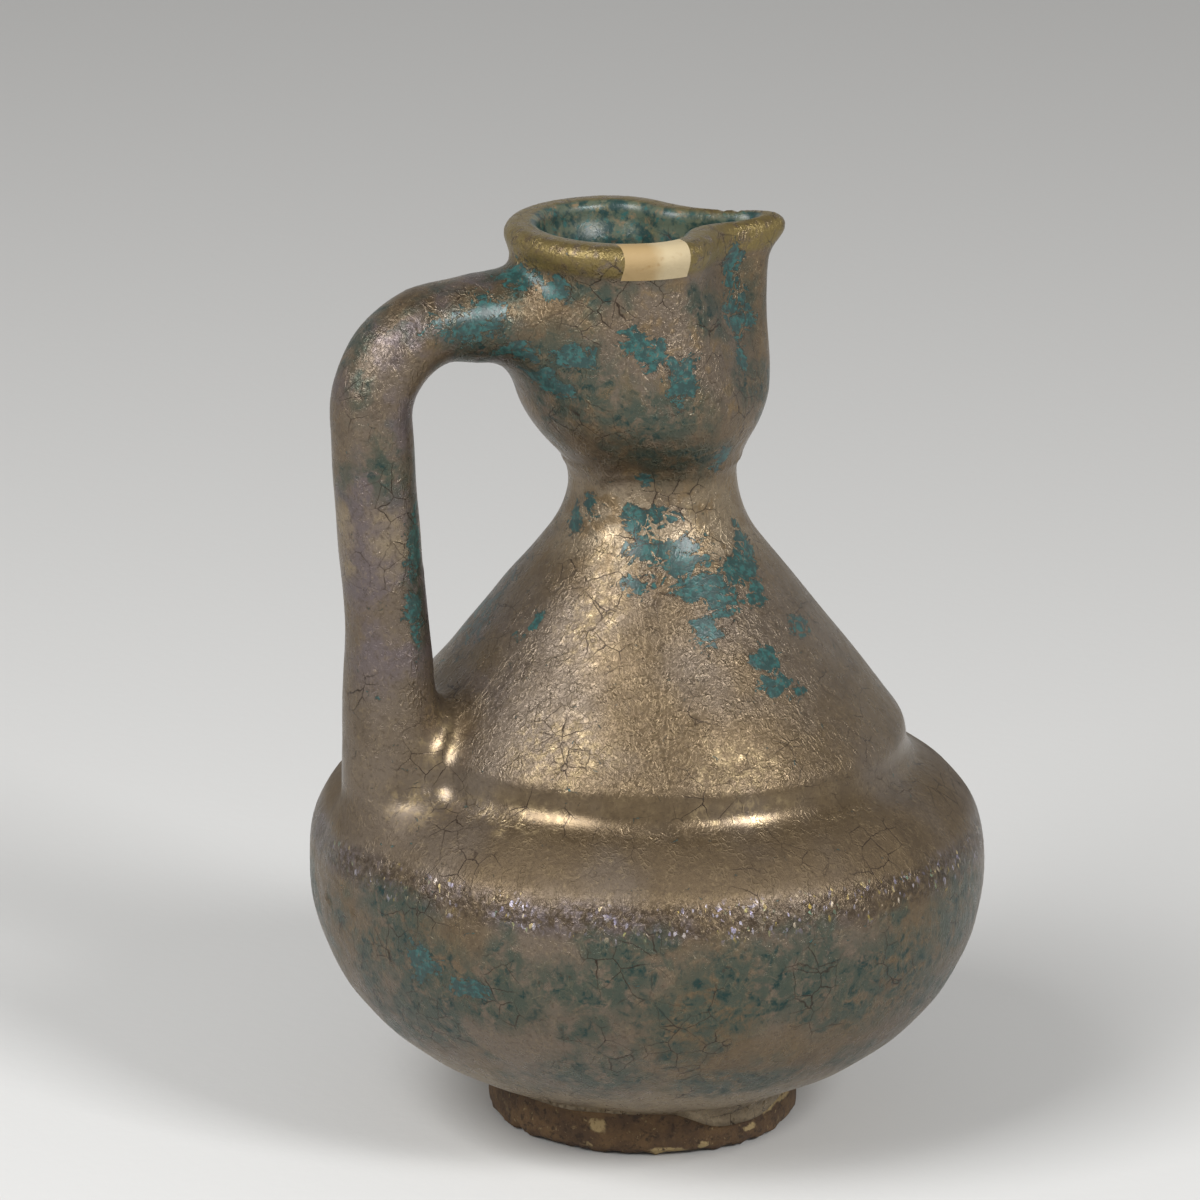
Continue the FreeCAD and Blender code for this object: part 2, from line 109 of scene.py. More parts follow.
class EwerShape(bpy.types.PropertyGroup):
    """Sizes of the vessel as it is seen, glaze and all"""

    belly_radius: length("Belly radius", "Clay at its widest line", LOWER_BOWL[1][0])
    belly_height: length("Belly height", "Widest line above the foot", UPPER_BOWL[0][2])
    bowl_base: length("Bowl base", "Where the bowl's curve would reach the axis", 6.1)
    bowl_fullness: plain("Bowl fullness", "Superellipse power under the widest line", 2.2)
    crease_height: length("Crease height", "Foot of the cone above the foot", UPPER_BOWL[1][2])
    shoulder_crown: length("Shoulder crown", "How far the shoulder's curve would go on", 5.1)
    shoulder_fullness: plain("Shoulder fullness", "Superellipse power over the widest line", 2.6)
    cone_step: length("Cone step", "Cone's base beyond the crease", 1.35)
    cone_rise: length("Cone rise", "Cone's widest line above the crease", 5.4)
    cone_round: length("Cone rounding", "Rounding of the cone's base", 6.5)
    neck_radius: length("Neck radius", "Clay of the neck", 14.0)
    neck_length: length("Neck length", "Straight neck under the cup", 10.4)
    neck_round: length("Neck hollow", "Rounding between flank and neck", 22.0)
    foot_radius: length("Foot radius", "Clay of the foot ring", 28.0)
    cup_height: length("Cup height", "Foot of the mouth cup", CUP[0][2])
    cup_base: length("Cup base radius", "Mouth cup at its foot", 14.4)
    cup_belly_height: length("Cup belly height", "Widest line of the mouth cup", 135.5)
    cup_belly_radius: length("Cup belly radius", "Mouth cup at its widest line", 20.6)
    cup_flank: plain("Cup flank", "Fullness of the cup's underside", 1.75)
    cup_waist_height: length("Cup waist height", "Narrow line under the lip", 158.5)
    cup_waist_radius: length("Cup waist radius", "Mouth cup under the lip", 18.1)
    cup_wall: length("Cup wall", "Clay wall of the mouth cup", 4.2)
    lip_height: length("Lip height", "Widest line of the rolled lip", 164.3)
    lip_radius: length("Lip radius", "Clay of the lip", 19.6)
    lip_roll: length("Lip roll", "Rounding of the lip's edge", 1.5)
    mouth_shift: length("Mouth shift", "Mouth's centre towards the handle", -7.0, -50.0)
    spout_reach: length("Spout reach", "How far the spout stands out of the lip", 9.4)
    spout_top: angle("Spout spread at the lip", "Half width round the mouth", 12.3)
    spout_base: angle("Spout spread at the foot", "Half width round the cup", 34.0)
    spout_turn: angle("Spout turn", "Off the line of the handle", -8.0)
    pinch_depth: length("Pinch depth", "Dent on each side of the spout", 2.9)
    pinch_angle: angle("Pinch angle", "Dent's place round from the spout", 38.0)
    pinch_spread: angle("Pinch spread", "Dent's half width round the cup", 24.0)
    rod_thickness: length("Handle thickness", "Rod across the handle's plane", 12.6)
    rod_width: length("Handle width", "Rod along the handle's plane", 14.2)
    joint_blend: length("Joint blend", "How softly the handle runs into the clay", 5.0)
    glaze: length("Glaze thickness", "Coat over the clay", COAT[1][0] - LOWER_BOWL[1][0])
    lining: length("Lining thickness", "Glaze inside the mouth", 0.5)
    swell: length("Unevenness", "Slow swells of the coat, all outwards", 0.2)
    lip_bead: length("Lip bead", "Glaze gathered on the lip's outer face", 0.45)
    glaze_edge: length("Glaze edge", "Lower edge of the coat on the foot", COAT[0][2])
    coarse: length("Coarse cell", "Mesh cell on the belly", 2.2, 0.3)
    fine: length("Fine cell", "Mesh cell at the mouth, handle and crease", 1.1, 0.3)


class EwerFinish(bpy.types.PropertyGroup):
    """Colours of the glaze, the clay and the fill"""

    bronze: colour("Bronze film", "Decayed glaze over most of the body", "675741")
    taupe: colour("Taupe film", "Greyer, pinker film", "6C6053")
    # gold is also painted in as highlight where the softboxes light the cone, the crease and the
    # handle's foot
    gold: colour("Gold film", "Pale golden film where the glaze flakes", "A89470")
    ochre: colour("Ochre film", "Tan film round the patches and on the cup", "75634A")
    # umber is also laid on the belly's top as painted shade
    umber: colour("Umber film", "Dark film in creases and streaks", "463A2D")
    teal: colour("Teal glaze", "Turquoise glaze that is still whole", "26524F")
    teal_deep: colour("Deep teal glaze", "Darker turquoise, where it lies thick", "1D3735")
    # pale is painted light: reflected light from the board on the underside, and light in the cup's
    # shade on the neck
    pale: colour("Pale film", "Thin pale film low on the belly, by the foot", "94856E")
    moss: colour("Moss glaze", "Green-grey glaze showing through the film", "454C42")
    olive: colour("Olive film", "Film on the lip", "77683F")
    violet: colour("Violet film", "Greyish violet sheen on the handle and the belly", "665C5B")
    throat: colour("Throat glaze", "Glaze inside the mouth", "4E5748")
    clay: colour("Bare clay", "Unglazed foot", "513D2B")
    clay_worn: colour("Worn clay", "Lighter clay of the foot, in clouds", "6B5236")
    slip: colour("Pale slip", "Cream remains on the foot", "A89268")
    dirt: colour("Dirt", "Old dirt in the cracks of the glaze and the pits of the foot", "2E231A")
    fill_tan: colour("Fill, tan", "Older part of the filled lip", "9A8259")
    fill_cream: colour("Fill, cream", "Paler part of the filled lip", "AE9E7D")
    fill_stain: colour("Fill, stained", "Brown stain on the filled lip", "86683C")


class EwerStage(bpy.types.PropertyGroup):
    """Board, lights and camera"""

    board: colour("Board", "Plain pale board under the ewer", "CECECD")
    board_size: length("Board size", "Side of the square board", 6000.0)
    camera_distance: length("Camera distance", "From the camera to the ewer", 1450.0)
    camera_turn: angle("Camera turn", "Round the ewer, from the front", -25.0)
    camera_rise: angle("Camera rise", "Above the level", 16.7)
    camera_roll: angle("Camera roll", "Tilt of the frame", 0.95)
    aim_across: length("Aim across", "Frame's middle to the right of the foot's axis", -9.2, -1000.0)
    aim_height: length("Aim height", "Height that the camera looks at", 80.0)
    aim_up: length("Aim up", "Frame's middle above that height, across the view", 15.1)
    lens: FloatProperty(name="Lens", description="Focal length", default=242.5, unit="CAMERA")
    left_power: plain("Left softbox", "Power in watts", 16.5, 0, 1000)
    right_power: plain("Right softbox", "Power in watts", 14.0, 0, 1000)
    room: plain("Room light", "Strength of the room's light, at the horizon", 0.66, 0, 10)
    walls: colour("Walls", "Light from the level of the ewer", "F4F3F0")
    ceiling: colour("Ceiling", "Light from overhead", "9A9896")


def shape_in_mm(scene):
    """The shape's sizes as plain numbers: millimetres, degrees, and the rest as they are."""
    group = scene.ewer_shape
    sizes = SimpleNamespace()
    for key in EwerShape.__annotations__:
        value = getattr(group, key)
        unit = group.bl_rna.properties[key].unit
        if unit == "LENGTH":
            value /= MM
        elif unit == "ROTATION":
            value = round(math.degrees(value), 3)
        setattr(sizes, key, value)
    return sizes


# ---------------------------------------------------------------- distances to the ewer


def smooth_union(a, b, reach):
    """The nearer of two distances, run together over a reach, as wet clay is."""
    mix = np.clip(0.5 + 0.5 * (b - a) / reach, 0, 1)
    return b + (a - b) * mix - reach * mix * (1 - mix)


def round_union(a, b, radius):
    """The nearer of two distances, with the corner between them filled to a radius."""
    corner = np.hypot(np.maximum(radius - a, 0), np.maximum(radius - b, 0))
    return np.maximum(radius, np.minimum(a, b)) - corner


def round_overlap(a, b, radius):
    """The farther of two distances, with the edge between them rounded to a radius."""
    corner = np.hypot(np.maximum(radius + a, 0), np.maximum(radius + b, 0))
    return np.minimum(-radius, np.maximum(a, b)) + corner


def superellipse(radius, rise, power, base, steps=72):
    """Quarter superellipse from its widest point to the axis, rise below 0 for downward."""
    turn = np.linspace(0, math.pi / 2, steps)
    across = np.cos(turn)
    along = np.sin(turn)
    reach = ((across / radius) ** power + (along / abs(rise)) ** power) ** (-1 / power)
    return np.stack([reach * across, base + math.copysign(1, rise) * reach * along], 1)


def rounded_path(points, radii, steps=16):
    """A broken line with its inner corners rounded to arcs."""
    path = [np.array(points[0], float)]
    for before, corner, after, radius in zip(points, points[1:], points[2:], radii):
        corner = np.array(corner, float)
        back = np.array(before) - corner
        back /= np.linalg.norm(back)
        ahead = np.array(after) - corner
        ahead /= np.linalg.norm(ahead)
        half = math.acos(np.clip(back @ ahead, -1, 1)) / 2
        bisector = (back + ahead) / np.linalg.norm(back + ahead)
        centre = corner + bisector * radius / math.sin(half)
        start = corner + back * radius / math.tan(half) - centre
        end = corner + ahead * radius / math.tan(half) - centre
        whole = math.pi - 2 * half
        for i in range(steps + 1):
            part = i / steps
            low = math.sin((1 - part) * whole) / math.sin(whole)
            high = math.sin(part * whole) / math.sin(whole)
            path.append(centre + start * low + end * high)
    path.append(np.array(points[-1], float))
    return np.array(path)


def distance_to_path(path, across, along, closed):
    """Distance of a grid of points to a path; inside a closed path it is negative."""
    spot = np.stack(np.meshgrid(across, along, indexing="ij"), -1).reshape(-1, 2)
    starts = path if closed else path[:-1]
    ends = np.roll(path, -1, 0) if closed else path[1:]
    best = np.full(len(spot), 1e9)
    inside = np.zeros(len(spot), bool)
    for start, end in zip(starts, ends):
        run = end - start
        if run @ run < 1e-12:
            continue
        part = np.clip((spot - start) @ run / (run @ run), 0, 1)
        gap = spot - start - part[:, None] * run
        best = np.minimum(best, (gap * gap).sum(1))
        if closed and start[1] != end[1]:
            level = (start[1] <= spot[:, 1]) != (end[1] <= spot[:, 1])
            crossing = start[0] + (spot[:, 1] - start[1]) / run[1] * run[0]
            inside ^= level & (spot[:, 0] < crossing)
    best = np.sqrt(best)
    return np.where(inside, -best, best).reshape(len(across), len(along))


class Table:
    """Values on an even grid of two coordinates, read between the grid's points."""

    def __init__(self, across, along, values):
        self.values = values
        self.low = np.array([across[0], along[0]])
        self.step = np.array([across[1] - across[0], along[1] - along[0]])

    def read(self, u, v):
        a = np.clip((u - self.low[0]) / self.step[0], 0, self.values.shape[0] - 1.001)
        b = np.clip((v - self.low[1]) / self.step[1], 0, self.values.shape[1] - 1.001)
        i = a.astype(int)
        j = b.astype(int)
        a = a - i
        b = b - j
        t = self.values
        low = t[i, j] * (1 - a) + t[i + 1, j] * a
        high = t[i, j + 1] * (1 - a) + t[i + 1, j + 1] * a
        return low * (1 - b) + high * b


def mirrored(outline):
    """A half outline from axis to axis, closed by its mirror image across the axis."""
    return np.concatenate([outline, outline[::-1] * [-1, 1]])


class Ewer:
    """Distance to the ewer's glazed skin, worked out from its sizes in millimetres."""

    SPACING = 0.4  # of the grids on which the body's and the rod's distances are kept
    MARGIN = 12.0
    BELOW_FOOT = -8.0
    INSIDE = 6.0  # how far the cone and the foot go on inside the belly
    CREASE_POOL = 3.8
    FOOT_POOL = 1.4
    CUP_BLEND = 3.0
    THROAT_DEPTH = 16.0
    NECK_BORE = 8.9

    # the cup is worked out only this far across and deep, and from just below its foot
    CUP_REACH = (36.0, 32.0)
    CUP_UNDER = 6.0
    THROAT_UNDER = 4.0
    # powers of the height's share by which the mouth leans, the spout grows and the dents grow
    LEAN, SPOUT_GROWTH, PINCH_GROWTH = 0.6, 1.1, 1.3
    BEAD_DROP, BEAD_SPREAD = 0.8, 2.4
    INNER_EDGE = 0.3  # rounding of the mouth's inner edge over the roll of the lip

    # the handle, seen from the side: it lies behind x, within y and above z of its reach
    ROD_POINTS = [(-13.8, 150.6), (-56.4, 152.2), (-51.4, 94.0), (-50.9, 54.0)]
    ROD_BENDS = [15.6, 90.0]
    ROD_REACH = (-6.0, 24.0, 46.0)
    FOOT_SPREAD, TOP_SPREAD, SPREAD_CHANGE = 1.2, 0.9, 110.0

    # its two clay pads: where each starts, its length, the run, end and power of its growth, its
    # growth through and across the rod, how its middle shifts, and how far its edge fades
    TOP_PAD = SimpleNamespace(
        start=-34.0, length=22.0, run=12.6, most=1.6, power=1.6, thick=6.5, wide=3.9, shift=4.0,
        fade=11.0,
    )
    FOOT_PAD = SimpleNamespace(
        start=88.0, length=40.0, run=34.0, most=1.2, power=1.3, thick=7.2, wide=5.4, shift=-7.2,
        fade=18.0,
    )
    PAD_COAT, PAD_SINK, PAD_BLEND = 0.35, 3.0, 2.4
    TOP_PAD_HEIGHT = 151.4
    FOOT_PAD_BACK = -57.7

    # swells, each the product of two waves: radians per mm along x, y and z, and the start
    SLOW_WAVES = ((0.11, 0.0, 0.07, 1.3), (0.0, 0.13, -0.09, 0.4))
    QUICK_WAVES = ((0.31, -0.23, 0.19, 0.0), (0.0, 0.21, 0.27, 2.0))

    def __init__(self, sizes):
        self.s = sizes
        self.body = self.body_table()
        self.rod = self.rod_table()

    # the turned body

    def crease(self):
        s = self.s
        rise = s.crease_height - s.belly_height
        share = (rise / (rise + s.shoulder_crown)) ** s.shoulder_fullness
        return s.belly_radius * (1 - share) ** (1 / s.shoulder_fullness)

    def belly_outline(self):
        s = self.s
        radius = s.belly_radius + s.glaze
        fall = s.belly_height - s.bowl_base + s.glaze
        rise = s.crease_height - s.belly_height + s.shoulder_crown + s.glaze
        low = superellipse(radius, -fall, s.bowl_fullness, s.belly_height)
        high = superellipse(radius, rise, s.shoulder_fullness, s.belly_height)
        return mirrored(np.concatenate([low[::-1], high]))

    def cone_outline(self):
        s = self.s
        g = s.glaze
        crease = self.crease()
        base = (crease + s.cone_step, s.crease_height + s.cone_rise)
        corner = (s.neck_radius, s.cup_height - s.neck_length)
        top = s.cup_height + 4 * g
        flank = np.array(corner) - base
        lift = -flank[0] / np.linalg.norm(flank) * g / 2
        cone = rounded_path(
            [
                (crease + g, s.crease_height - self.INSIDE),
                (base[0] + g, base[1] + lift),
                (corner[0] + g, corner[1] + lift),
                (s.neck_radius + g, top),
            ],
            [s.cone_round + g, s.neck_round - g],
        )
        return mirrored(np.concatenate([[(0, cone[0][1])], cone, [(0, top)]]))

    def foot_outline(self):
        radius = self.s.foot_radius + self.s.glaze
        top = self.s.bowl_base + self.INSIDE
        half = [(0, self.BELOW_FOOT), (radius, self.BELOW_FOOT), (radius, top), (0, top)]
        return mirrored(np.array(half))

    def body_table(self):
        s = self.s
        across = np.arange(0, s.belly_radius + self.MARGIN, self.SPACING)
        along = np.arange(self.BELOW_FOOT, s.cup_height + self.MARGIN, self.SPACING)
        belly, foot, cone = (
            distance_to_path(outline, across, along, True)
            for outline in (self.belly_outline(), self.foot_outline(), self.cone_outline())
        )
        whole = round_union(belly, foot, self.FOOT_POOL)
        return Table(across, along, round_union(whole, cone, self.CREASE_POOL))

    # the mouth cup

    def share(self, z):
        s = self.s
        return np.clip((z - s.cup_height) / (s.lip_height - s.cup_height), 0, 1)

    def centre(self, z):
        return self.s.mouth_shift * self.share(z) ** self.LEAN

    def reach(self, angle, z, out):
        """The cup's wall from the mouth's centre, in a direction and at a height."""
        s = self.s
        down = np.clip((s.cup_belly_height - z) / (s.cup_belly_height - s.cup_height), 0, 1)
        radius = s.cup_base + (s.cup_belly_radius - s.cup_base) * (1 - down ** s.cup_flank)
        for low, high, change in (
            (s.cup_belly_height, s.cup_waist_height, s.cup_waist_radius - s.cup_belly_radius),
            (s.cup_waist_height, s.lip_height, s.lip_radius - s.cup_waist_radius),
        ):
            part = np.clip((z - low) / (high - low), 0, 1)
            radius = radius + change * (1 - np.cos(math.pi * part)) / 2
        share = self.share(z)
        spread = s.spout_base + (s.spout_top - s.spout_base) * share
        keel = s.spout_reach * share ** self.SPOUT_GROWTH * np.exp(-((angle / spread) ** 2))
        dent = (angle - s.pinch_angle) / s.pinch_spread
        pinch = s.pinch_depth * share ** self.PINCH_GROWTH * np.exp(-(dent ** 2))
        under = (z - s.lip_height + self.BEAD_DROP) / self.BEAD_SPREAD
        bead = s.lip_bead * np.exp(-(under ** 2)) * (out > 0)
        return radius + out + keel - pinch + bead

    def cup_distance(self, x, y, z, out, nudge=0.2, turn=0.5):
        x = x - self.centre(z)
        angle = np.degrees(np.arctan2(y, x)) - self.s.spout_turn
        angle = np.abs((angle + 180) % 360 - 180)
        reach = self.reach(angle, z, out)
        rise = self.reach(angle, z + nudge, out) - self.reach(angle, z - nudge, out)
        swing = self.reach(angle + turn, z, out) - self.reach(angle - turn, z, out)
        rise = rise / (2 * nudge)
        swing = swing / math.radians(2 * turn) / reach
        return (np.hypot(x, y) - reach) / np.sqrt(1 + rise ** 2 + swing ** 2)

    def by_the_cup(self, x, y, z, under):
        across, deep = self.CUP_REACH
        return (z > self.s.cup_height - under) & (np.abs(y) < deep) & (np.abs(x) < across)

    # the handle

    def rod_table(self):
        across = np.arange(-70, 6, self.SPACING)
        along = np.arange(44, 172, self.SPACING)
        path = rounded_path(self.ROD_POINTS, self.ROD_BENDS, 24)
        return Table(across, along, distance_to_path(path, across, along, False))

    def oval(self, u, v, half_u, half_v):
        """Distance to an oval bar, near enough for a bar that is almost round."""
        size = np.sqrt((u / half_u) ** 2 + (v / half_v) ** 2)
        return (size - 1) * np.minimum(half_u, half_v)

    def pad_distance(self, pad, past, off, y, thick, wide):
        """Distance to a clay pad, from how far past its start and off its middle a point is."""
        swell = np.clip(past / pad.run, 0, pad.most) ** pad.power
        part = np.clip(1 + past / pad.fade, 0, 1)
        edge = self.PAD_COAT - self.PAD_SINK * (1 - part * part * (3 - 2 * part))
        oval = self.oval(
            off + pad.shift * swell, y, thick + edge + pad.thick * swell, wide + edge + pad.wide * swell
        )
        return np.maximum(oval, np.maximum(-past - pad.fade, past - pad.length))

    def handle_distance(self, x, y, z):
        s = self.s
        thick = s.rod_thickness / 2 + s.glaze
        wide = s.rod_width / 2 + s.glaze
        rod = self.oval(self.rod.read(x, z), y, thick, wide)
        top, foot = self.TOP_PAD, self.FOOT_PAD
        upper = self.pad_distance(top, x - top.start, z - self.TOP_PAD_HEIGHT, y, thick, wide)
        middle = self.FOOT_PAD_BACK - s.glaze + thick + self.PAD_COAT
        lower = self.pad_distance(foot, foot.start - z, x - middle, y, thick, wide)
        return smooth_union(rod, np.minimum(upper, lower), self.PAD_BLEND)

    # everything

    def outside(self, x, y, z):
        s = self.s
        whole = self.body.read(np.hypot(x, y), z)
        near = self.by_the_cup(x, y, z, self.CUP_UNDER)
        if near.any():
            a, b, c = x[near], y[near], z[near]
            cup = np.maximum(self.cup_distance(a, b, c, s.glaze), s.cup_height - c)
            whole[near] = smooth_union(whole[near], cup, self.CUP_BLEND)
        behind, within, above = self.ROD_REACH
        near = (x < behind) & (np.abs(y) < within) & (z > above)
        if near.any():
            a, b, c = x[near], y[near], z[near]
            spread = np.where(c < self.SPREAD_CHANGE, self.FOOT_SPREAD, self.TOP_SPREAD)
            handle = self.handle_distance(a, b, c)
            whole[near] = smooth_union(whole[near], handle, s.joint_blend * spread)
        return whole - self.unevenness(x, y, z)

    def unevenness(self, x, y, z):
        """Slow swells left by the hand and by the glaze as it ran, all of them outwards."""
        slow, quick = (
            math.prod(np.sin(a * x + b * y + c * z + start) for a, b, c, start in waves)
            for waves in (self.SLOW_WAVES, self.QUICK_WAVES)
        )
        return self.s.swell * (1.5 + slow + 0.5 * quick)

    def crest(self):
        return self.s.lip_height + self.s.lip_roll + self.s.glaze

    def distance(self, spots):
        """Distance to the skin, with the mouth hollowed out and the lip rounded."""
        s = self.s
        x, y, z = spots[:, 0], spots[:, 1], spots[:, 2]
        whole = self.outside(x, y, z)
        near = self.by_the_cup(x, y, z, self.THROAT_DEPTH + self.THROAT_UNDER)
        if near.any():
            a, b, c = x[near], y[near], z[near]
            hollow = self.cup_distance(a, b, c, -s.cup_wall - s.lining)
            hollow = np.where(c > s.cup_height, hollow, np.hypot(a, b) - self.NECK_BORE)
            hollow = np.maximum(hollow, s.cup_height - self.THROAT_DEPTH - c)
            part = round_overlap(whole[near], c - self.crest(), s.lip_roll + s.glaze)
            whole[near] = round_overlap(part, -hollow, s.lip_roll + self.INNER_EDGE)
        return whole

    def slope(self, spots, nudge=0.05):
        steps = np.eye(3) * nudge
        rises = [self.distance(spots + step) - self.distance(spots - step) for step in steps]
        return np.stack(rises, 1) / (2 * nudge)

    def settle(self, spots, rounds=3, longest=1.5):
        """Moves points onto the skin along the field's slope, a step at most the longest."""
        for _ in range(rounds):
            gap = self.distance(spots)
            slope = self.slope(spots)
            size = np.maximum((slope ** 2).sum(1), 0.1)
            spots = spots - slope * np.clip(gap / size, -longest, longest)[:, None]
        return spots


# ---------------------------------------------------------------- mesh of the skin


def graded_axis(stretches):
    """Grid lines along an axis, from (end, spacing) stretches after a start value."""
    lines = [stretches[0][0]]
    for end, spacing in stretches[1:]:
        steps = max(1, round((end - lines[-1]) / spacing))
        start = lines[-1]
        lines += [start + (end - start) * (i + 1) / steps for i in range(steps)]
    return np.array(lines)


def surface_net(lines, values):
    """One point in each grid cell that the skin crosses, and a quad for each crossed edge."""
    cells = tuple(n - 1 for n in values.shape)
    total = np.zeros(cells + (3,), np.float32)
    count = np.zeros(cells, np.float32)
    crossings = []
    for axis in range(3):
        low = [slice(None)] * 3
        high = [slice(None)] * 3
        low[axis] = slice(0, -1)
        high[axis] = slice(1, None)
        a = values[tuple(low)]
        b = values[tuple(high)]
        edges = np.argwhere((a < 0) != (b < 0))
        at = tuple(edges.T)
        part = a[at] / (a[at] - b[at])
        spot = np.stack([lines[i][edges[:, i]] for i in range(3)], 1)
        spot[:, axis] += part * (lines[axis][edges[:, axis] + 1] - lines[axis][edges[:, axis]])
        first, second = [i for i in range(3) if i != axis]
        around = []
        for da, db in ((-1, -1), (0, -1), (0, 0), (-1, 0)):
            cell = edges.copy()
            cell[:, first] += da
            cell[:, second] += db
            around.append(cell)
        inside = np.ones(len(edges), bool)
        for cell in around:
            inside &= np.all((cell >= 0) & (cell < cells), 1)
        for cell in around:
            where = tuple(cell[inside].T)
            np.add.at(total, where, spot[inside])
            np.add.at(count, where, 1)
        flip = (a[at] < 0)[inside]
        if axis == 1:
            flip = ~flip
        crossings.append((np.stack([c[inside] for c in around], 1), flip))
    used = count > 0
    index = np.full(cells, -1)
    index[used] = np.arange(used.sum())
    spots = total[used] / count[used][:, None]
    quads = []
    for around, flip in crossings:
        face = index[around[..., 0], around[..., 1], around[..., 2]]
        face[~flip] = face[~flip][:, ::-1]
        quads.append(face)
    return spots.astype(float), np.concatenate(quads)


def relax(spots, quads):
    """Evens out the points by moving each halfway to its neighbours' middle."""
    edges = np.concatenate([quads[:, [i, (i + 1) % 4]] for i in range(4)])
    total = np.zeros_like(spots)
    count = np.zeros(len(spots))
    for a, b in ((0, 1), (1, 0)):
        np.add.at(total, edges[:, a], spots[edges[:, b]])
        np.add.at(count, edges[:, a], 1)
    return (spots + total / count[:, None]) / 2


# where the mesh has fine cells: across, from the handle to the spout; deep, the cup and handle;
# up, the glaze's edge on the foot, the crease, and all from the neck to the lip
FINE_ACROSS = 32.0
FINE_DEEP = 26.0
FINE_EDGE = (5.0, 11.0)
FINE_CREASE = (60.0, 76.0)
FINE_NECK = 116.0
CONE_CELL = 0.7  # of a coarse cell


def glazed_skin(sizes):
    """Points in millimetres and quads of the whole glazed skin, foot and throat still closed."""
    ewer = Ewer(sizes)
    fine, coarse = sizes.fine, sizes.coarse
    reach = sizes.belly_radius + 3
    x = graded_axis([(-reach, 0), (FINE_ACROSS, fine), (reach, coarse)])
    y = graded_axis([(-reach, 0), (-FINE_DEEP, coarse), (FINE_DEEP, fine), (reach, coarse)])
    z = graded_axis([
        (-3, 0), (FINE_EDGE[0], coarse), (FINE_EDGE[1], fine), (FINE_CREASE[0], coarse),
        (FINE_CREASE[1], fine), (FINE_NECK, coarse * CONE_CELL), (ewer.crest() + 2, fine),
    ])
    values = np.empty((len(x), len(y), len(z)), np.float32)
    flat = np.stack(np.meshgrid(x, y, indexing="ij"), -1).reshape(-1, 2)
    for k, height in enumerate(z):
        spots = np.column_stack([flat, np.full(len(flat), height)])
        values[:, :, k] = ewer.distance(spots).reshape(len(x), len(y))
    spots, quads = surface_net((x, y, z), values)
    spots = ewer.settle(spots, 2)
    for _ in range(3):
        spots = ewer.settle(relax(spots, quads), 2)
    return ewer, spots, quads


# the glaze's lower edge on the foot: the band that follows it, its drip in degrees and mm, and
# its waves as depth, waves round the foot, and start
FOOT_BAND = 13.0
BAND_POWER = 1.5
EDGE_DROP = 0.25
DRIP_ANGLE = -79.0
DRIP_SPREAD = 20.0
DRIP_DEPTH = 3.3
EDGE_WAVES = ((0.28, 3, 0.6), (0.17, 7, 2.1), (0.1, 13, 0.0))

THROAT_CUT = 4.0  # the coat ends this far over the throat's floor
THROAT_BAND = 8.0
FILL_MARK = 1


def edge_height(sizes, angle):
    """Height of the glaze's lower edge round the foot: one long drip, and small waves."""
    away = (angle - DRIP_ANGLE + 180) % 360 - 180
    drip = DRIP_DEPTH * math.exp(-(abs(away / DRIP_SPREAD) ** 3))
    turn = math.radians(angle)
    waves = sum(deep * math.sin(count * turn + start) for deep, count, start in EDGE_WAVES)
    return sizes.glaze_edge - EDGE_DROP - drip + waves


def cut(mesh, where, spot, normal, drop=False):
    """Cuts the faces picked by a test along a plane; drop clears what lies behind it."""
    faces = [f for f in mesh.faces if where(f.calc_center_median() / MM)]
    edges = {e for f in faces for e in f.edges}
    verts = {v for f in faces for v in f.verts}
    bmesh.ops.bisect_plane(
        mesh,
        geom=faces + list(edges) + list(verts),
        dist=1e-7,
        plane_co=Vector(spot) * MM,
        plane_no=normal,
        clear_inner=drop,
    )


def settle_verts(ewer, verts):
    """Puts bmesh points back on the skin."""
    spots = np.array([v.co[:] for v in verts]) / MM
    for vert, spot in zip(verts, ewer.settle(spots)):
        vert.co = Vector(spot) * MM


def open_foot(mesh, ewer):
    """Ends the coat above the foot's resting face, in a wavy edge with a drip."""
    s = ewer.s
    cut(mesh, lambda c: c.z < FOOT_BAND, (0, 0, s.glaze_edge), (0, 0, 1), True)
    band = [v for v in mesh.verts if v.co.z < FOOT_BAND * MM]
    for vert in band:
        angle = math.degrees(math.atan2(vert.co.y, vert.co.x))
        height = vert.co.z / MM
        share = (FOOT_BAND - height) / (FOOT_BAND - s.glaze_edge)
        share = min(1, max(0, share)) ** BAND_POWER
        vert.co.z += MM * share * (edge_height(s, angle) - s.glaze_edge)
    settle_verts(ewer, band)


def open_throat(mesh, ewer):
    """Lets the throat run through to the belly."""
    floor = ewer.s.cup_height - ewer.THROAT_DEPTH

    def in_throat(centre):
        return math.hypot(centre.x, centre.y) < ewer.NECK_BORE + 1 and centre.z < floor + THROAT_BAND

    cut(mesh, in_throat, (0, 0, floor + THROAT_CUT), (0, 0, 1), True)


def in_fill(centre, margin=0.0):
    low, high = FILL
    return (
        low[0] - margin < centre.x < high[0] + margin
        and centre.y < high[1] + margin
        and centre.z > low[2] - margin
    )


def cut_fill(mesh):
    """Cuts the outline of the filled loss in the lip, and gives its faces."""
    low, high = FILL

    def near(centre):
        return in_fill(centre, 3.0)

    for side, place in ((0, low[0]), (0, high[0]), (2, low[2]), (1, high[1])):
        normal = Vector((0, 0, 0))
        normal[side] = 1
        cut(mesh, near, normal * place, normal)
    return [f for f in mesh.faces if in_fill(f.calc_center_median() / MM)]


def shell_object(name, mesh, materials, thickness):
    """A smooth shaded piece from a bmesh of its outer face, with a wall grown inwards."""
    data = bpy.data.meshes.new(name)
    mesh.to_mesh(data)
    mesh.free()
    data.shade_smooth()
    for material in materials:
        data.materials.append(material)
    piece = bpy.data.objects.new(name, data)
    bpy.context.scene.collection.objects.link(piece)
    wall = piece.modifiers.new("Wall", "SOLIDIFY")
    wall.thickness = thickness
    wall.offset = -1
    return piece


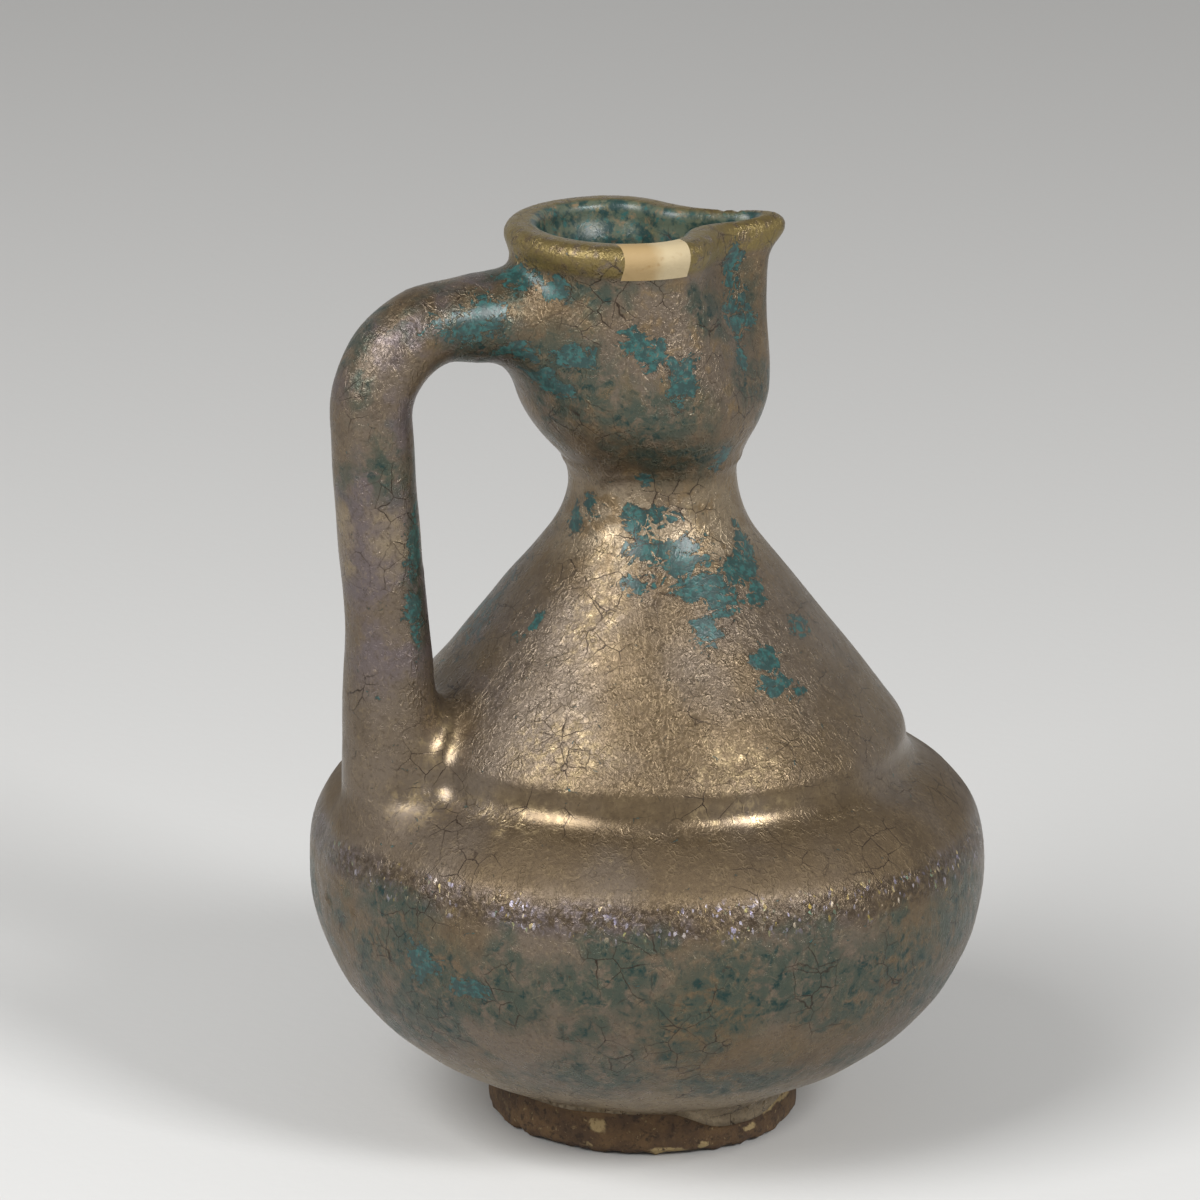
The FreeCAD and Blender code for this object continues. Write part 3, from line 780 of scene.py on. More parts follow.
def whole_skin(sizes):
    """The skin as a bmesh, opened at the foot and the throat, with the lip's fill marked."""
    ewer, spots, quads = glazed_skin(sizes)
    mesh = bmesh.new()
    verts = [mesh.verts.new(spot * MM) for spot in spots]
    for quad in quads:
        mesh.faces.new([verts[i] for i in quad])
    open_foot(mesh, ewer)
    open_throat(mesh, ewer)
    for face in cut_fill(mesh):
        face.material_index = FILL_MARK
    bmesh.ops.recalc_face_normals(mesh, faces=mesh.faces)
    for edge in mesh.edges:
        marks = {face.material_index for face in edge.link_faces}
        edge.smooth = len(marks) < 2
    return mesh


def keep_marked(mesh, mark):
    """Leaves only the faces that carry a mark."""
    others = [face for face in mesh.faces if face.material_index != mark]
    bmesh.ops.delete(mesh, geom=others, context="FACES")
    for face in mesh.faces:
        face.material_index = 0


# ---------------------------------------------------------------- materials


SMOOTH = {"interpolation_type": "SMOOTHSTEP"}
COLOURS = {"out": 2, "data_type": "RGBA"}
SHARE, FIRST, SECOND = 0, 6, 7
FEATHER = {"Detail": 6, "Roughness": 0.65}
FEATHERED_UNDER = 5  # mm: smaller clouds have feathered edges


def add(tree, kind, inputs=None, out=0, **settings):
    """Adds a node with its settings, fills or links its inputs, and gives one output."""
    node = tree.nodes.new(kind if "Node" in kind else "ShaderNode" + kind)
    for name, value in settings.items():
        setattr(node, name, value)
    for key, value in (inputs or {}).items():
        socket = node.inputs[key]
        if isinstance(value, bpy.types.NodeSocket):
            tree.links.new(value, socket)
        elif socket.type == "RGBA":
            socket.default_value = (*value[:3], 1.0)
        else:
            socket.default_value = value
    return node.outputs[out] if node.outputs else node


def new_material(name):
    """A material with an empty tree, and the object's own coordinates in millimetres."""
    material = bpy.data.materials.new(name)
    material.use_nodes = True
    tree = material.node_tree
    tree.nodes.clear()
    place = add(tree, "TexCoord", out="Object")
    place = add(tree, "VectorMath", {0: place, "Scale": 1 / MM}, operation="SCALE")
    return material, tree, place


def finish_material(tree, sockets, height, depth_mm):
    """Ends a tree in one surface shader, with its relief given as a depth in millimetres."""
    relief = add(tree, "Bump", {"Distance": depth_mm * MM, "Height": height})
    surface = add(tree, "BsdfPrincipled", {"Normal": relief, **sockets})
    add(tree, "OutputMaterial", {"Surface": surface})


def stirred(tree, place, size_mm, amount_mm):
    """The place moved about by noise, so that what is drawn on it gets ragged edges."""
    stir = add(tree, "TexNoise", {"Vector": place, "Scale": 1 / size_mm, "Detail": 3}, "Color")
    stir = add(tree, "VectorMath", {0: stir, 1: (0.5, 0.5, 0.5)}, operation="SUBTRACT")
    stir = add(tree, "VectorMath", {0: stir, "Scale": 2 * amount_mm}, operation="SCALE")
    return add(tree, "VectorMath", {0: place, 1: stir})


def patches(tree, place, spots):
    """1 at the middle of each spot, falling through 0 at its radius; the highest counts."""
    highest = None
    for x, y, z, across, tall in spots:
        away = add(tree, "VectorMath", {0: place, 1: (x, y, z)}, operation="SUBTRACT")
        size = (across, across, tall)
        away = add(tree, "VectorMath", {0: away, 1: size}, operation="DIVIDE")
        away = add(tree, "VectorMath", {0: away}, "Value", operation="LENGTH")
        inward = add(tree, "Math", {0: 1.0, 1: away}, operation="SUBTRACT")
        if highest is not None:
            inward = add(tree, "Math", {0: highest, 1: inward}, operation="MAXIMUM")
        highest = inward
    return highest


def mottle(tree, place, size_mm, start, full, within=None, most=1.0, **noise):
    """Cloudy share from 0 to most, in clouds about a size wide, kept to where within is."""
    look = {"Vector": place, "Scale": 1 / size_mm, "Detail": 4, **noise}
    if size_mm < FEATHERED_UNDER:
        look.update(FEATHER)
    share = add(tree, "TexNoise", look)
    share = add(tree, "MapRange", {0: share, 1: start, 2: full, 4: most}, **SMOOTH)
    if within is None:
        return share
    return add(tree, "Math", {0: share, 1: within}, operation="MULTIPLY")


def painted(tree, base, layers, places, zones, look):
    """Lays a table of tones over a base, each in its own clouds, zone and share."""
    for place, size_mm, start, full, zone, most, tone in layers:
        share = mottle(tree, places[place], size_mm, start, full, zones.get(zone), most)
        tones = {SHARE: share, FIRST: base, SECOND: getattr(look, tone)}
        base = add(tree, "Mix", tones, **COLOURS)
    return base


def height_zone(tree, place, low, rise, fall, high):
    """1 between two heights, easing in from low to rise and out from fall to high."""
    z = add(tree, "SeparateXYZ", {0: place}, "Z")
    up = add(tree, "MapRange", {0: z, 1: low, 2: rise}, **SMOOTH)
    down = add(tree, "MapRange", {0: z, 1: high, 2: fall}, **SMOOTH)
    return add(tree, "Math", {0: up, 1: down}, operation="MULTIPLY")


def crackle(tree, place, cell_mm, line_mm):
    """Thin dark lines of a crackle net, broken off where the noise says so."""
    bent = stirred(tree, place, cell_mm * 0.6, cell_mm * 0.14)
    edge = add(
        tree, "TexVoronoi", {"Vector": bent, "Scale": 1 / cell_mm}, feature="DISTANCE_TO_EDGE"
    )
    line = add(tree, "MapRange", {0: edge, 1: line_mm / cell_mm, 2: 0.0}, **SMOOTH)
    holes = add(tree, "TexNoise", {"Vector": place, "Scale": 1 / (2.5 * cell_mm), "Detail": 2})
    kept = add(tree, "MapRange", {0: holes, 1: 0.46, 2: 0.64}, **SMOOTH)
    return add(tree, "Math", {0: line, 1: kept}, operation="MULTIPLY")


def wrinkles(tree, place, curls):
    """Relief of the decayed film: curled edges of its flakes, finer strokes, and swells."""
    bent = stirred(tree, place, 2.2, 1.0)
    stroke = {"Vector": bent, "Scale": 1 / 0.9, "Detail": 3, "Roughness": 0.7, "Distortion": 1.5}
    stroke = add(tree, "TexNoise", stroke)
    clouds = add(tree, "TexNoise", {"Vector": place, "Scale": 1 / 4, "Detail": 3})
    total = add(tree, "Math", {0: curls, 1: 0.55, 2: stroke}, operation="MULTIPLY_ADD")
    return add(tree, "Math", {0: clouds, 1: 1.2, 2: total}, operation="MULTIPLY_ADD")


TEAL_SPOTS = [
    # x, y, z, radius across, radius up: the cone's front, under the cup
    (-16.5, -2.2, 112.8, 2.2, 3.5),
    (-13.8, -5.5, 116.4, 2.2, 2.6),
    (-8.9, -13.2, 114.9, 3.0, 2.2),
    (-5.7, -14.7, 115.9, 3.2, 1.8),
    (-1.0, -17.3, 111.5, 3.2, 1.8),
    (-8.2, -16.0, 110.5, 4.4, 2.6),
    (-3.6, -18.8, 108.5, 5.2, 2.2),
    (-11.4, -19.0, 104.8, 3.6, 1.8),
    (-1.2, -22.1, 104.6, 5.2, 2.4),
    (1.8, -24.1, 102.0, 4.2, 3.0),
    (-2.6, -27.4, 97.9, 2.8, 3.4),
    (6.6, -20.1, 106.0, 3.8, 2.8),
    (9.5, -17.9, 106.9, 3.4, 3.2),
    (9.8, -21.7, 102.4, 3.4, 3.0),
    (11.1, -14.4, 109.5, 2.4, 2.8),
    (5.0, -16.2, 126.2, 2.0, 3.4),
    (-7.9, -12.8, 122.0, 2.0, 1.4),
    # streaks and spots lower on the cone
    (7.8, -30.3, 93.0, 3.8, 1.8),
    (8.5, -33.1, 89.1, 3.2, 1.6),
    (12.5, -33.2, 86.8, 2.4, 1.2),
    (18.2, -22.8, 95.3, 3.2, 2.6),
    (-29.1, -7.2, 94.4, 1.5, 1.5),
    (-26.2, -9.1, 97.3, 1.6, 1.6),
    # the cup and its spout
    (-12.1, -18.9, 149.3, 3.4, 3.0),
    (-9.6, -19.8, 147.5, 2.4, 3.4),
    (-5.0, -20.2, 142.4, 3.0, 4.4),
    (-23.4, -10.3, 140.2, 3.2, 2.0),
    (-26.2, -7.8, 142.2, 3.6, 1.8),
    (-21.8, -13.0, 146.1, 4.2, 2.2),
    (10.0, -8.9, 158.4, 2.4, 4.8),
    (9.6, -12.0, 151.0, 2.6, 5.6),
    (12.5, -9.5, 150.1, 2.2, 5.0),
    (10.0, -14.0, 143.4, 1.8, 2.8),
    # the handle: its top, its root at the lip, and inside its bend
    (-40.3, -3.8, 152.0, 8.0, 3.0),
    (-36.7, -5.4, 154.2, 5.0, 2.4),
    (-31.0, -8.0, 147.0, 5.0, 2.2),
    (-28.5, -4.0, 159.0, 3.6, 3.0),
    (-24.5, -9.4, 157.6, 3.0, 2.2),
    (-48.4, -0.2, 124.0, 2.6, 9.0),
    (-49.7, -6.0, 113.0, 2.0, 8.0),
    (-49.5, -7.6, 101.2, 2.2, 5.0),
    # the lower belly, left
    (-54.8, -24.6, 42.6, 3.4, 3.6),
    (-50.0, -33.4, 40.0, 4.0, 2.2),
]


PAINTED_HIGHLIGHT_SPOTS = [
    # x, y, z, radius across, radius up: painted highlights in gold, where the softboxes light
    # the cone's front and foot, the crease and the foot of the handle
    (-14.5, -13.1, 108.1, 6.0, 7.0),
    (-19.5, -17.8, 99.0, 8.0, 14.0),
    (0.8, -15.4, 115.4, 4.0, 4.0),
    (-30.6, -28.2, 79.3, 13.0, 8.0),
    (-3.5, -42.7, 77.6, 11.0, 6.0),
    (-38.7, -27.5, 68.7, 15.0, 4.0),
    (-3.2, -46.4, 70.4, 13.0, 3.0),
    (-50.1, -11.9, 67.6, 9.0, 5.0),
    (-44.8, -8.2, 78.9, 6.0, 10.0),
]


POOL_SPOTS = [
    # x, y, z, radius across, radius up: glaze pooled and smooth round the handle's foot and neck
    (-44.8, -8.2, 74.0, 8.0, 12.0),
    (-50.1, -11.9, 67.6, 10.0, 5.0),
    (-13.4, -9.5, 113.5, 3.4, 3.0),
    (0.8, -15.4, 115.4, 3.0, 3.0),
]


def turquoise_left(tree, place, ragged):
    """Where whole turquoise glaze is left: the patches seen in front, and some on the far side

    Gives the height of a patch over its torn edge: above 0 the glaze is whole.
    """
    spots = patches(tree, stirred(tree, ragged, 2.0, 1.2), TEAL_SPOTS)
    spots = add(tree, "MapRange", {0: spots, 1: -0.5, 2: 0.5, 3: -1.0, 4: 0.5})
    scatter = add(tree, "TexNoise", {"Vector": ragged, "Scale": 1 / 14, "Detail": 4})
    scatter = add(tree, "MapRange", {0: scatter, 1: 0.55, 2: 0.8, 3: -0.5, 4: 0.7})
    far = add(tree, "SeparateXYZ", {0: place}, "Y")
    far = add(tree, "MapRange", {0: far, 1: -8, 2: 8, 3: -1.2, 4: 0.0}, **SMOOTH)
    scatter = add(tree, "Math", {0: scatter, 1: far})
    zone = height_zone(tree, place, 70, 92, 150, 162)
    zone = add(tree, "MapRange", {0: zone, 1: 0.0, 2: 1.0, 3: -1.0, 4: 0.0})
    scatter = add(tree, "Math", {0: scatter, 1: zone})
    spots = add(tree, "Math", {0: spots, 1: scatter}, operation="MAXIMUM")
    streaks = add(tree, "VectorMath", {0: ragged, 1: (1, 1, 1.7)}, operation="MULTIPLY")
    torn = {"Vector": streaks, "Scale": 1 / 2.8, "Detail": 8, "Roughness": 0.68, "Distortion": 1.2}
    torn = add(tree, "TexNoise", torn)
    torn = add(tree, "Math", {0: torn, 1: 5.0, 2: -2.3}, operation="MULTIPLY_ADD")
    seams = crackle(tree, ragged, 2.6, 0.3)
    torn = add(tree, "Math", {0: seams, 1: -1.4, 2: torn}, operation="MULTIPLY_ADD")
    return add(tree, "Math", {0: spots, 1: torn})


def inside_mouth(tree, place):
    """1 on the walls that face the mouth's axis, 0 outside, and between on the lip's crest."""
    shift = add(tree, "VectorMath", {0: place, 1: (6.0, 0, 0)})
    shift = add(tree, "VectorMath", {0: shift, 1: (1, 1, 0)}, operation="MULTIPLY")
    facing = add(tree, "TexCoord", out="Normal")
    facing = add(tree, "VectorMath", {0: facing, 1: shift}, "Value", operation="DOT_PRODUCT")
    inner = add(tree, "MapRange", {0: facing, 1: -1.0, 2: -9.0}, **SMOOTH)
    radius = add(tree, "VectorMath", {0: shift}, "Value", operation="LENGTH")
    near = add(tree, "MapRange", {0: radius, 1: 29.0, 2: 28.0}, **SMOOTH)
    inner = add(tree, "Math", {0: inner, 1: near}, operation="MULTIPLY")
    high = height_zone(tree, place, 100, 101, 400, 500)
    return add(tree, "Math", {0: inner, 1: high}, operation="MULTIPLY")


MOSS_SPOTS = [
    # x, y, z, radius across, radius up: green glaze showing on the lower belly
    (-55.1, -23.9, 42.3, 15.0, 8.0),
    (-48.3, -34.8, 39.3, 16.0, 8.0),
    (-35.0, -49.0, 43.0, 14.0, 6.0),
    (-4.2, -59.9, 43.5, 24.0, 10.0),
    (-13.0, -58.0, 39.0, 22.0, 6.0),
    (20.0, -55.0, 40.0, 20.0, 11.0),
    (40.6, -44.5, 46.1, 16.0, 10.0),
    (57.0, -12.0, 52.0, 14.0, 9.0),
    (-57.0, -18.0, 51.0, 12.0, 5.0),
    (-28.6, -42.6, 23.5, 12.0, 4.0),
    (-4.5, -49.2, 21.5, 15.0, 5.0),
    # the cup under the handle, and round its front
    (-24.0, -12.0, 142.0, 12.0, 11.0),
    (-9.0, -19.0, 136.0, 13.0, 7.0),
    (-4.0, -15.0, 128.0, 13.0, 4.0),
    # the top of the handle
    (-38.0, -4.0, 152.0, 12.0, 5.0),
    (-49.0, -6.0, 108.0, 3.4, 22.0),
]


SCALE_MM = 0.42
# colours of the scales' painted glints, at their places along the ramp
SCALE_TONES = ((0.0, "827B90"), (0.5, "AAA5B0"), (0.9, "B8A04A"), (1.0, "6F9080"))


def band_scales_and_glints(tree, bite, ragged, band, film):
    """Small iridescent scales on the belly's widest line, with their glints painted in violet, grey,
    green and yellow.
    """
    upright = add(tree, "VectorMath", {0: bite, 1: (1, 1, 0.45)}, operation="MULTIPLY")
    cells = add(tree, "TexVoronoi", {"Vector": upright, "Scale": 1 / SCALE_MM}, "Color")
    pick = add(tree, "SeparateColor", {0: cells}, 0)
    pick = add(tree, "MapRange", {0: pick, 1: 0.84, 2: 1.0}, **SMOOTH)
    pick = add(tree, "Math", {0: pick, 1: band}, operation="MULTIPLY")
    pick = mottle(tree, ragged, 9, 0.46, 0.6, pick)
    hue = add(tree, "SeparateColor", {0: cells}, 1)
    hue = add(tree, "ValToRGB", {0: hue})
    ramp = hue.node.color_ramp
    for spot, _ in SCALE_TONES[1:-1]:
        ramp.elements.new(spot)
    for element, (_, code) in zip(ramp.elements, SCALE_TONES):
        element.color = (*sRGB(code), 1)
    return add(tree, "Mix", {SHARE: pick, FIRST: film, SECOND: hue}, **COLOURS)


# heights in mm at which a zone begins, is whole, begins to end and has ended; NO_END is over all
NO_END = (300, 400)
ZONES = {
    # the underside, where light reflected from the board is painted in
    "underside": (0, 5, 12, 24),
    "low_belly": (12, 24, 52, 57),
    "band": (51, 54, 57, 59.5),
    # the belly's top: rougher, and darkened with painted shade
    "belly_top": (57.5, 61, 64.5, 68),
    "crease": (67.0, 68.5, 72.5, 75.0),
    "over_the_belly": (80, 95, *NO_END),
    # the neck, lightened with painted light in the shade of the cup
    "neck": (104, 111, 118, 124),
    "flank_and_cup": (96, 112, 158, 164),
    "cup": (118, 128, 158, 163),
    "lip": (160.2, 161.6, *NO_END),
}

# tones in the order they are laid: the place they follow, the size of their clouds in mm, the
# noise at which they start and are whole, the zone they keep to, their share at most, the tone
FILM_LAYERS = (
    ("place", 30, 0.42, 0.62, None, 1.0, "taupe"),
    # pale painted on the underside, as light reflected from the board
    ("place", 14, 0.2, 0.4, "underside", 1.0, "pale"),
    # pale painted on the neck, as light that lifts the shade under the cup
    ("place", 10, 0.25, 0.45, "neck", 0.6, "pale"),
    ("ragged", 8, 0.5, 0.72, None, 0.4, "umber"),
    ("ragged", 10, 0.44, 0.62, "sheen", 1.0, "violet"),
    ("bite", 1.3, 0.36, 0.6, "band", 1.0, "umber"),
    # umber painted on the belly's top as shade
    ("place", 14, 0.2, 0.4, "belly_top", 0.32, "umber"),
    # gold laid as painted highlight where the softboxes light the cone, the crease and the handle's
    # foot
    ("bite", 1.6, 0.45, 0.75, "painted_highlight", 1.0, "gold"),
    ("bite", 1.0, 0.52, 0.76, None, 0.25, "gold"),
    ("bite", 0.8, 0.48, 0.72, None, 0.6, "umber"),
    ("ragged", 4.0, 0.48, 0.64, "tan", 1.0, "ochre"),
    ("ragged", 3.0, 0.34, 0.56, "green", 1.0, "moss"),
    ("ragged", 2.0, 0.52, 0.66, "green", 1.0, "teal_deep"),
)
GLAZE_LAYERS = (
    ("bite", 2.0, 0.3, 0.55, "lip", 1.0, "olive"),
    ("bite", 6.0, 0.2, 0.4, "inner", 1.0, "throat"),
    ("ragged", 2.5, 0.52, 0.66, "inner", 1.0, "ochre"),
    ("bite", 2.6, 0.42, 0.58, "inner", 1.0, "teal_deep"),
    ("bite", 1.6, 0.54, 0.66, "inner", 1.0, "teal"),
    ("bite", 1.0, 0.35, 0.55, "rim", 1.0, "umber"),
    ("bite", 0.9, 0.36, 0.46, "whole", 1.0, "teal"),
    ("bite", 1.2, 0.42, 0.54, "whole", 1.0, "teal_deep"),
    ("bite", 6.0, 0.3, 0.5, "lines", 1.0, "dirt"),
)
HANDLE_SIDE = (-27, -36)  # x from which the handle begins, and by which all is handle
RELIEF_MM = 0.14


def film_zones(tree, place, ragged):
    """Shares from 0 to 1 that say where each tone of the film may lie."""
    zones = {name: height_zone(tree, place, *levels) for name, levels in ZONES.items()}
    x = add(tree, "SeparateXYZ", {0: place}, "X")
    handle = add(tree, "MapRange", {0: x, 1: HANDLE_SIDE[0], 2: HANDLE_SIDE[1]}, **SMOOTH)
    handle = {0: handle, 1: zones["over_the_belly"]}
    handle = add(tree, "Math", handle, operation="MULTIPLY")
    zones["sheen"] = add(tree, "Math", {0: handle, 1: zones["band"]}, operation="MAXIMUM")
    tan = {0: zones["flank_and_cup"], 1: handle}
    zones["tan"] = add(tree, "Math", tan, operation="SUBTRACT", use_clamp=True)
    # where gold is painted in as highlight
    painted_highlight = patches(tree, ragged, PAINTED_HIGHLIGHT_SPOTS)
    zones["painted_highlight"] = add(tree, "MapRange", {0: painted_highlight, 1: 0.0, 2: 0.6}, **SMOOTH)
    moss = add(tree, "MapRange", {0: patches(tree, ragged, MOSS_SPOTS), 1: -0.1, 2: 0.5})
    faint = add(tree, "Math", {0: zones["low_belly"], 1: zones["cup"]}, operation="MAXIMUM")
    faint = mottle(tree, ragged, 12, 0.46, 0.66, faint)
    zones["green"] = add(tree, "Math", {0: moss, 1: faint}, operation="MAXIMUM")
    pooled = add(tree, "MapRange", {0: patches(tree, place, POOL_SPOTS), 1: 0.0, 2: 0.4})
    zones["pooled"] = add(tree, "Math", {0: pooled, 1: zones["crease"]}, operation="MAXIMUM")
    left = turquoise_left(tree, place, ragged)
    zones["rim"] = add(tree, "MapRange", {0: left, 1: -0.3, 2: 0.0}, **SMOOTH)
    zones["whole"] = add(tree, "MapRange", {0: left, 1: 0.0, 2: 0.1}, **SMOOTH)
    zones["inner"] = inside_mouth(tree, place)
    zones["lines"] = crackle(tree, place, 4.6, 0.13)
    return zones


def weathered_glaze(scene):
    """Alkaline turquoise glaze, decayed to a bronze film

    Satin and half metallic: light breaks up in a fine crinkle and turns pale gold, and pale gold
    is painted in as highlights where the softboxes light the cone, the crease and the handle's foot.
    Whole turquoise glaze shows in torn patches, and a row of iridescent scales round the belly, with
    painted glints. Painted shade darkens the belly's top; painted light lightens the underside and
    the neck.
    """
    look = scene.ewer_finish
    material, tree, place = new_material("weathered_turquoise_glaze")
    ragged = stirred(tree, place, 5.0, 2.4)
    bite = stirred(tree, place, 1.2, 0.5)
    places = {"place": place, "ragged": ragged, "bite": bite}
    zones = film_zones(tree, place, ragged)
    upright = add(tree, "VectorMath", {0: place, 1: (1, 1, 0.55)}, operation="MULTIPLY")
    curls = crackle(tree, upright, 1.0, 0.2)
    # gold on the curled edges of the flakes, stronger where gold is painted in as highlight
    bright = add(tree, "Math", {0: zones["painted_highlight"], 1: 0.3, 2: 0.08}, operation="MULTIPLY_ADD")
    bright = add(tree, "Math", {0: bright, 1: curls}, operation="MULTIPLY")

    film = painted(tree, look.bronze, FILM_LAYERS, places, zones, look)
    film = add(tree, "Mix", {SHARE: bright, FIRST: film, SECOND: look.gold}, **COLOURS)
    film = painted(tree, film, GLAZE_LAYERS, places, zones, look)
    film = band_scales_and_glints(tree, bite, ragged, zones["band"], film)

    relief = wrinkles(tree, place, curls)
    lines = {0: zones["lines"], 1: -0.2, 2: relief}
    relief = add(tree, "Math", lines, operation="MULTIPLY_ADD")
    smooth = add(tree, "Math", {0: zones["whole"], 1: zones["inner"]}, operation="MAXIMUM")
    settled = add(tree, "Math", {0: smooth, 1: zones["pooled"]}, operation="MAXIMUM")
    settled = add(tree, "Math", {0: settled, 1: 0.75}, operation="MULTIPLY")
    relief = add(tree, "Mix", {0: settled, 2: relief, 3: 1.4})
    metal = add(tree, "MapRange", {0: smooth, 1: 0.0, 2: 1.0, 3: 0.65, 4: 0.0})
    rough = add(tree, "TexNoise", {"Vector": bite, "Scale": 1 / 2, "Detail": 3})
    rough = add(tree, "MapRange", {0: rough, 1: 0.3, 2: 0.7, 3: 0.24, 4: 0.4})
    for zone, roughness in ((smooth, 0.34), (zones["pooled"], 0.27), (zones["belly_top"], 0.6)):
        rough = add(tree, "Mix", {0: zone, 2: rough, 3: roughness})
    sockets = {"Base Color": film, "Metallic": metal, "Roughness": rough, "IOR": 1.5}
    finish_material(tree, sockets, relief, RELIEF_MM)
    return material


CLAY_NODES = (
    "lower_bowl",
    "upper_bowl",
    "shoulder_cone",
    "mouth_cup",
    "handle",
    "upper_handle_wad",
    "lower_handle_wad",
)


def inner_clay(scene):
    """Fired body under the coat: sandy brown and dull, with faint throwing rings"""
    look = scene.ewer_finish
    material, tree, place = new_material("fired_clay_body")
    grit = add(tree, "TexNoise", {"Vector": place, "Scale": 1 / 0.8, "Detail": 3})
    rings = {"Vector": place, "Scale": 1 / 9.0, "Distortion": 1.5, "Detail": 2.0}
    rings = add(tree, "TexWave", rings, bands_direction="Z")
    tone = add(tree, "MapRange", {0: grit, 1: 0.35, 2: 0.65, 3: 0.0, 4: 0.5}, **SMOOTH)
    body = add(tree, "Mix", {SHARE: tone, FIRST: look.clay, SECOND: look.throat}, **COLOURS)
    relief = add(tree, "Math", {0: grit, 1: 0.5, 2: rings}, operation="MULTIPLY_ADD")
    finish_material(tree, {"Base Color": body, "Roughness": 0.8, "IOR": 1.5}, relief, 0.2)
    return material


SLIP_SPOTS = [
    # x, y, z, radius across, radius up: cream slip on the foot, and along the glaze's edge
    (-19.3, -21.5, 5.6, 2.2, 1.5),
    (-21.0, -20.1, 1.6, 1.6, 0.8),
    (-7.4, -27.4, 0.9, 4.0, 1.3),
    (-1.0, -28.2, 1.6, 1.3, 1.0),
    (6.8, -27.6, 6.0, 3.6, 1.1),
    (12.8, -25.4, 6.3, 4.4, 1.2),
    (18.0, -22.0, 6.8, 4.0, 1.2),
    (9.0, -27.0, 3.4, 2.0, 0.7),
]


FOOT_LAYERS = (
    ("ragged", 1.0, 0.6, 0.7, None, 0.7, "slip"),
    ("ragged", 1.2, 0.5, 0.66, None, 0.8, "dirt"),
    ("ragged", 0.9, 0.34, 0.5, "slip", 1.0, "slip"),
)


def foot_clay(scene):
    """Coarse fired body, unglazed: dark umber, dull and gritty, with cream slip left in places"""
    look = scene.ewer_finish
    material, tree, place = new_material("unglazed_foot_clay")
    ragged = stirred(tree, place, 1.4, 0.9)
    slip = patches(tree, ragged, SLIP_SPOTS)
    slip = add(tree, "MapRange", {0: slip, 1: -0.1, 2: 0.25}, **SMOOTH)
    far = add(tree, "SeparateXYZ", {0: place}, "Y")
    far = add(tree, "MapRange", {0: far, 1: -6, 2: 6}, **SMOOTH)
    low = height_zone(tree, place, -2, -1, 3, 6)
    far = add(tree, "Math", {0: far, 1: low}, operation="MULTIPLY")
    far = mottle(tree, ragged, 5, 0.58, 0.64, far)
    slip = add(tree, "Math", {0: slip, 1: far}, operation="MAXIMUM")
    grit = add(tree, "TexNoise", {"Vector": place, "Scale": 1 / 0.8, **FEATHER})
    worn = mottle(tree, place, 6, 0.4, 0.64, **FEATHER)
    body = {SHARE: worn, FIRST: look.clay, SECOND: look.clay_worn}
    body = add(tree, "Mix", body, **COLOURS)
    body = painted(tree, body, FOOT_LAYERS, {"ragged": ragged}, {"slip": slip}, look)
    relief = add(tree, "Math", {0: slip, 1: 0.3, 2: grit}, operation="MULTIPLY_ADD")
    finish_material(tree, {"Base Color": body, "Roughness": 0.85, "IOR": 1.5}, relief, 0.6)
    return material


def lip_plaster(scene):
    """Restorer's plaster, toned by hand: matt, tan on one half and cream on the other"""
    look = scene.ewer_finish
    material, tree, place = new_material("toned_plaster_fill")
    x = add(tree, "SeparateXYZ", {0: stirred(tree, place, 2.5, 0.8)}, "X")
    middle = (FILL[0][0] + FILL[1][0]) / 2
    half = add(tree, "MapRange", {0: x, 1: middle - 1.5, 2: middle + 1.5}, **SMOOTH)
    body = {SHARE: half, FIRST: look.fill_tan, SECOND: look.fill_cream}
    body = add(tree, "Mix", body, **COLOURS)
    cloud = add(tree, "TexNoise", {"Vector": place, "Scale": 1 / 1.5, "Detail": 4})
    stain = add(tree, "MapRange", {0: cloud, 1: 0.4, 2: 0.25, 3: 0, 4: 0.5}, **SMOOTH)
    body = add(tree, "Mix", {SHARE: stain, FIRST: body, SECOND: look.fill_stain}, **COLOURS)
    finish_material(tree, {"Base Color": body, "Roughness": 0.7, "IOR": 1.5}, cloud, 0.1)
    return material


def pale_board(scene):
    """Painted board under the ewer: pale grey and matt, with a fine tooth"""
    material, tree, place = new_material("pale_matt_board")
    tooth = add(tree, "TexNoise", {"Vector": place, "Scale": 1 / 2.5, "Detail": 2})
    sockets = {"Base Color": scene.ewer_stage.board, "Roughness": 0.9}
    finish_material(tree, sockets, tooth, 0.05)
    return material


# ---------------------------------------------------------------- foot ring by rule


# the foot ring's section in mm: its bore, the rounding of its worn outer edge and its flat face,
# the heights of the points up its outer wall, and its top, which follows the bowl's curve
FOOT_BORE = 19.0
BORE_EDGE = ((0.0, 8.0), (0.0, 1.2), (0.35, 0.35), (1.2, 0.0))
FOOT_WEAR = 2.0
FOOT_FLAT = 3.5
WALL_HEIGHTS = (3.2, 4.8, 6.4, 8.0, 9.6)
TOP_RADII = (25.6, 23.0, 20.6)
HEART_RADIUS = 23.5  # middle of the clay, which wear and chips draw the edge towards
HEART_HEIGHT = 4.0


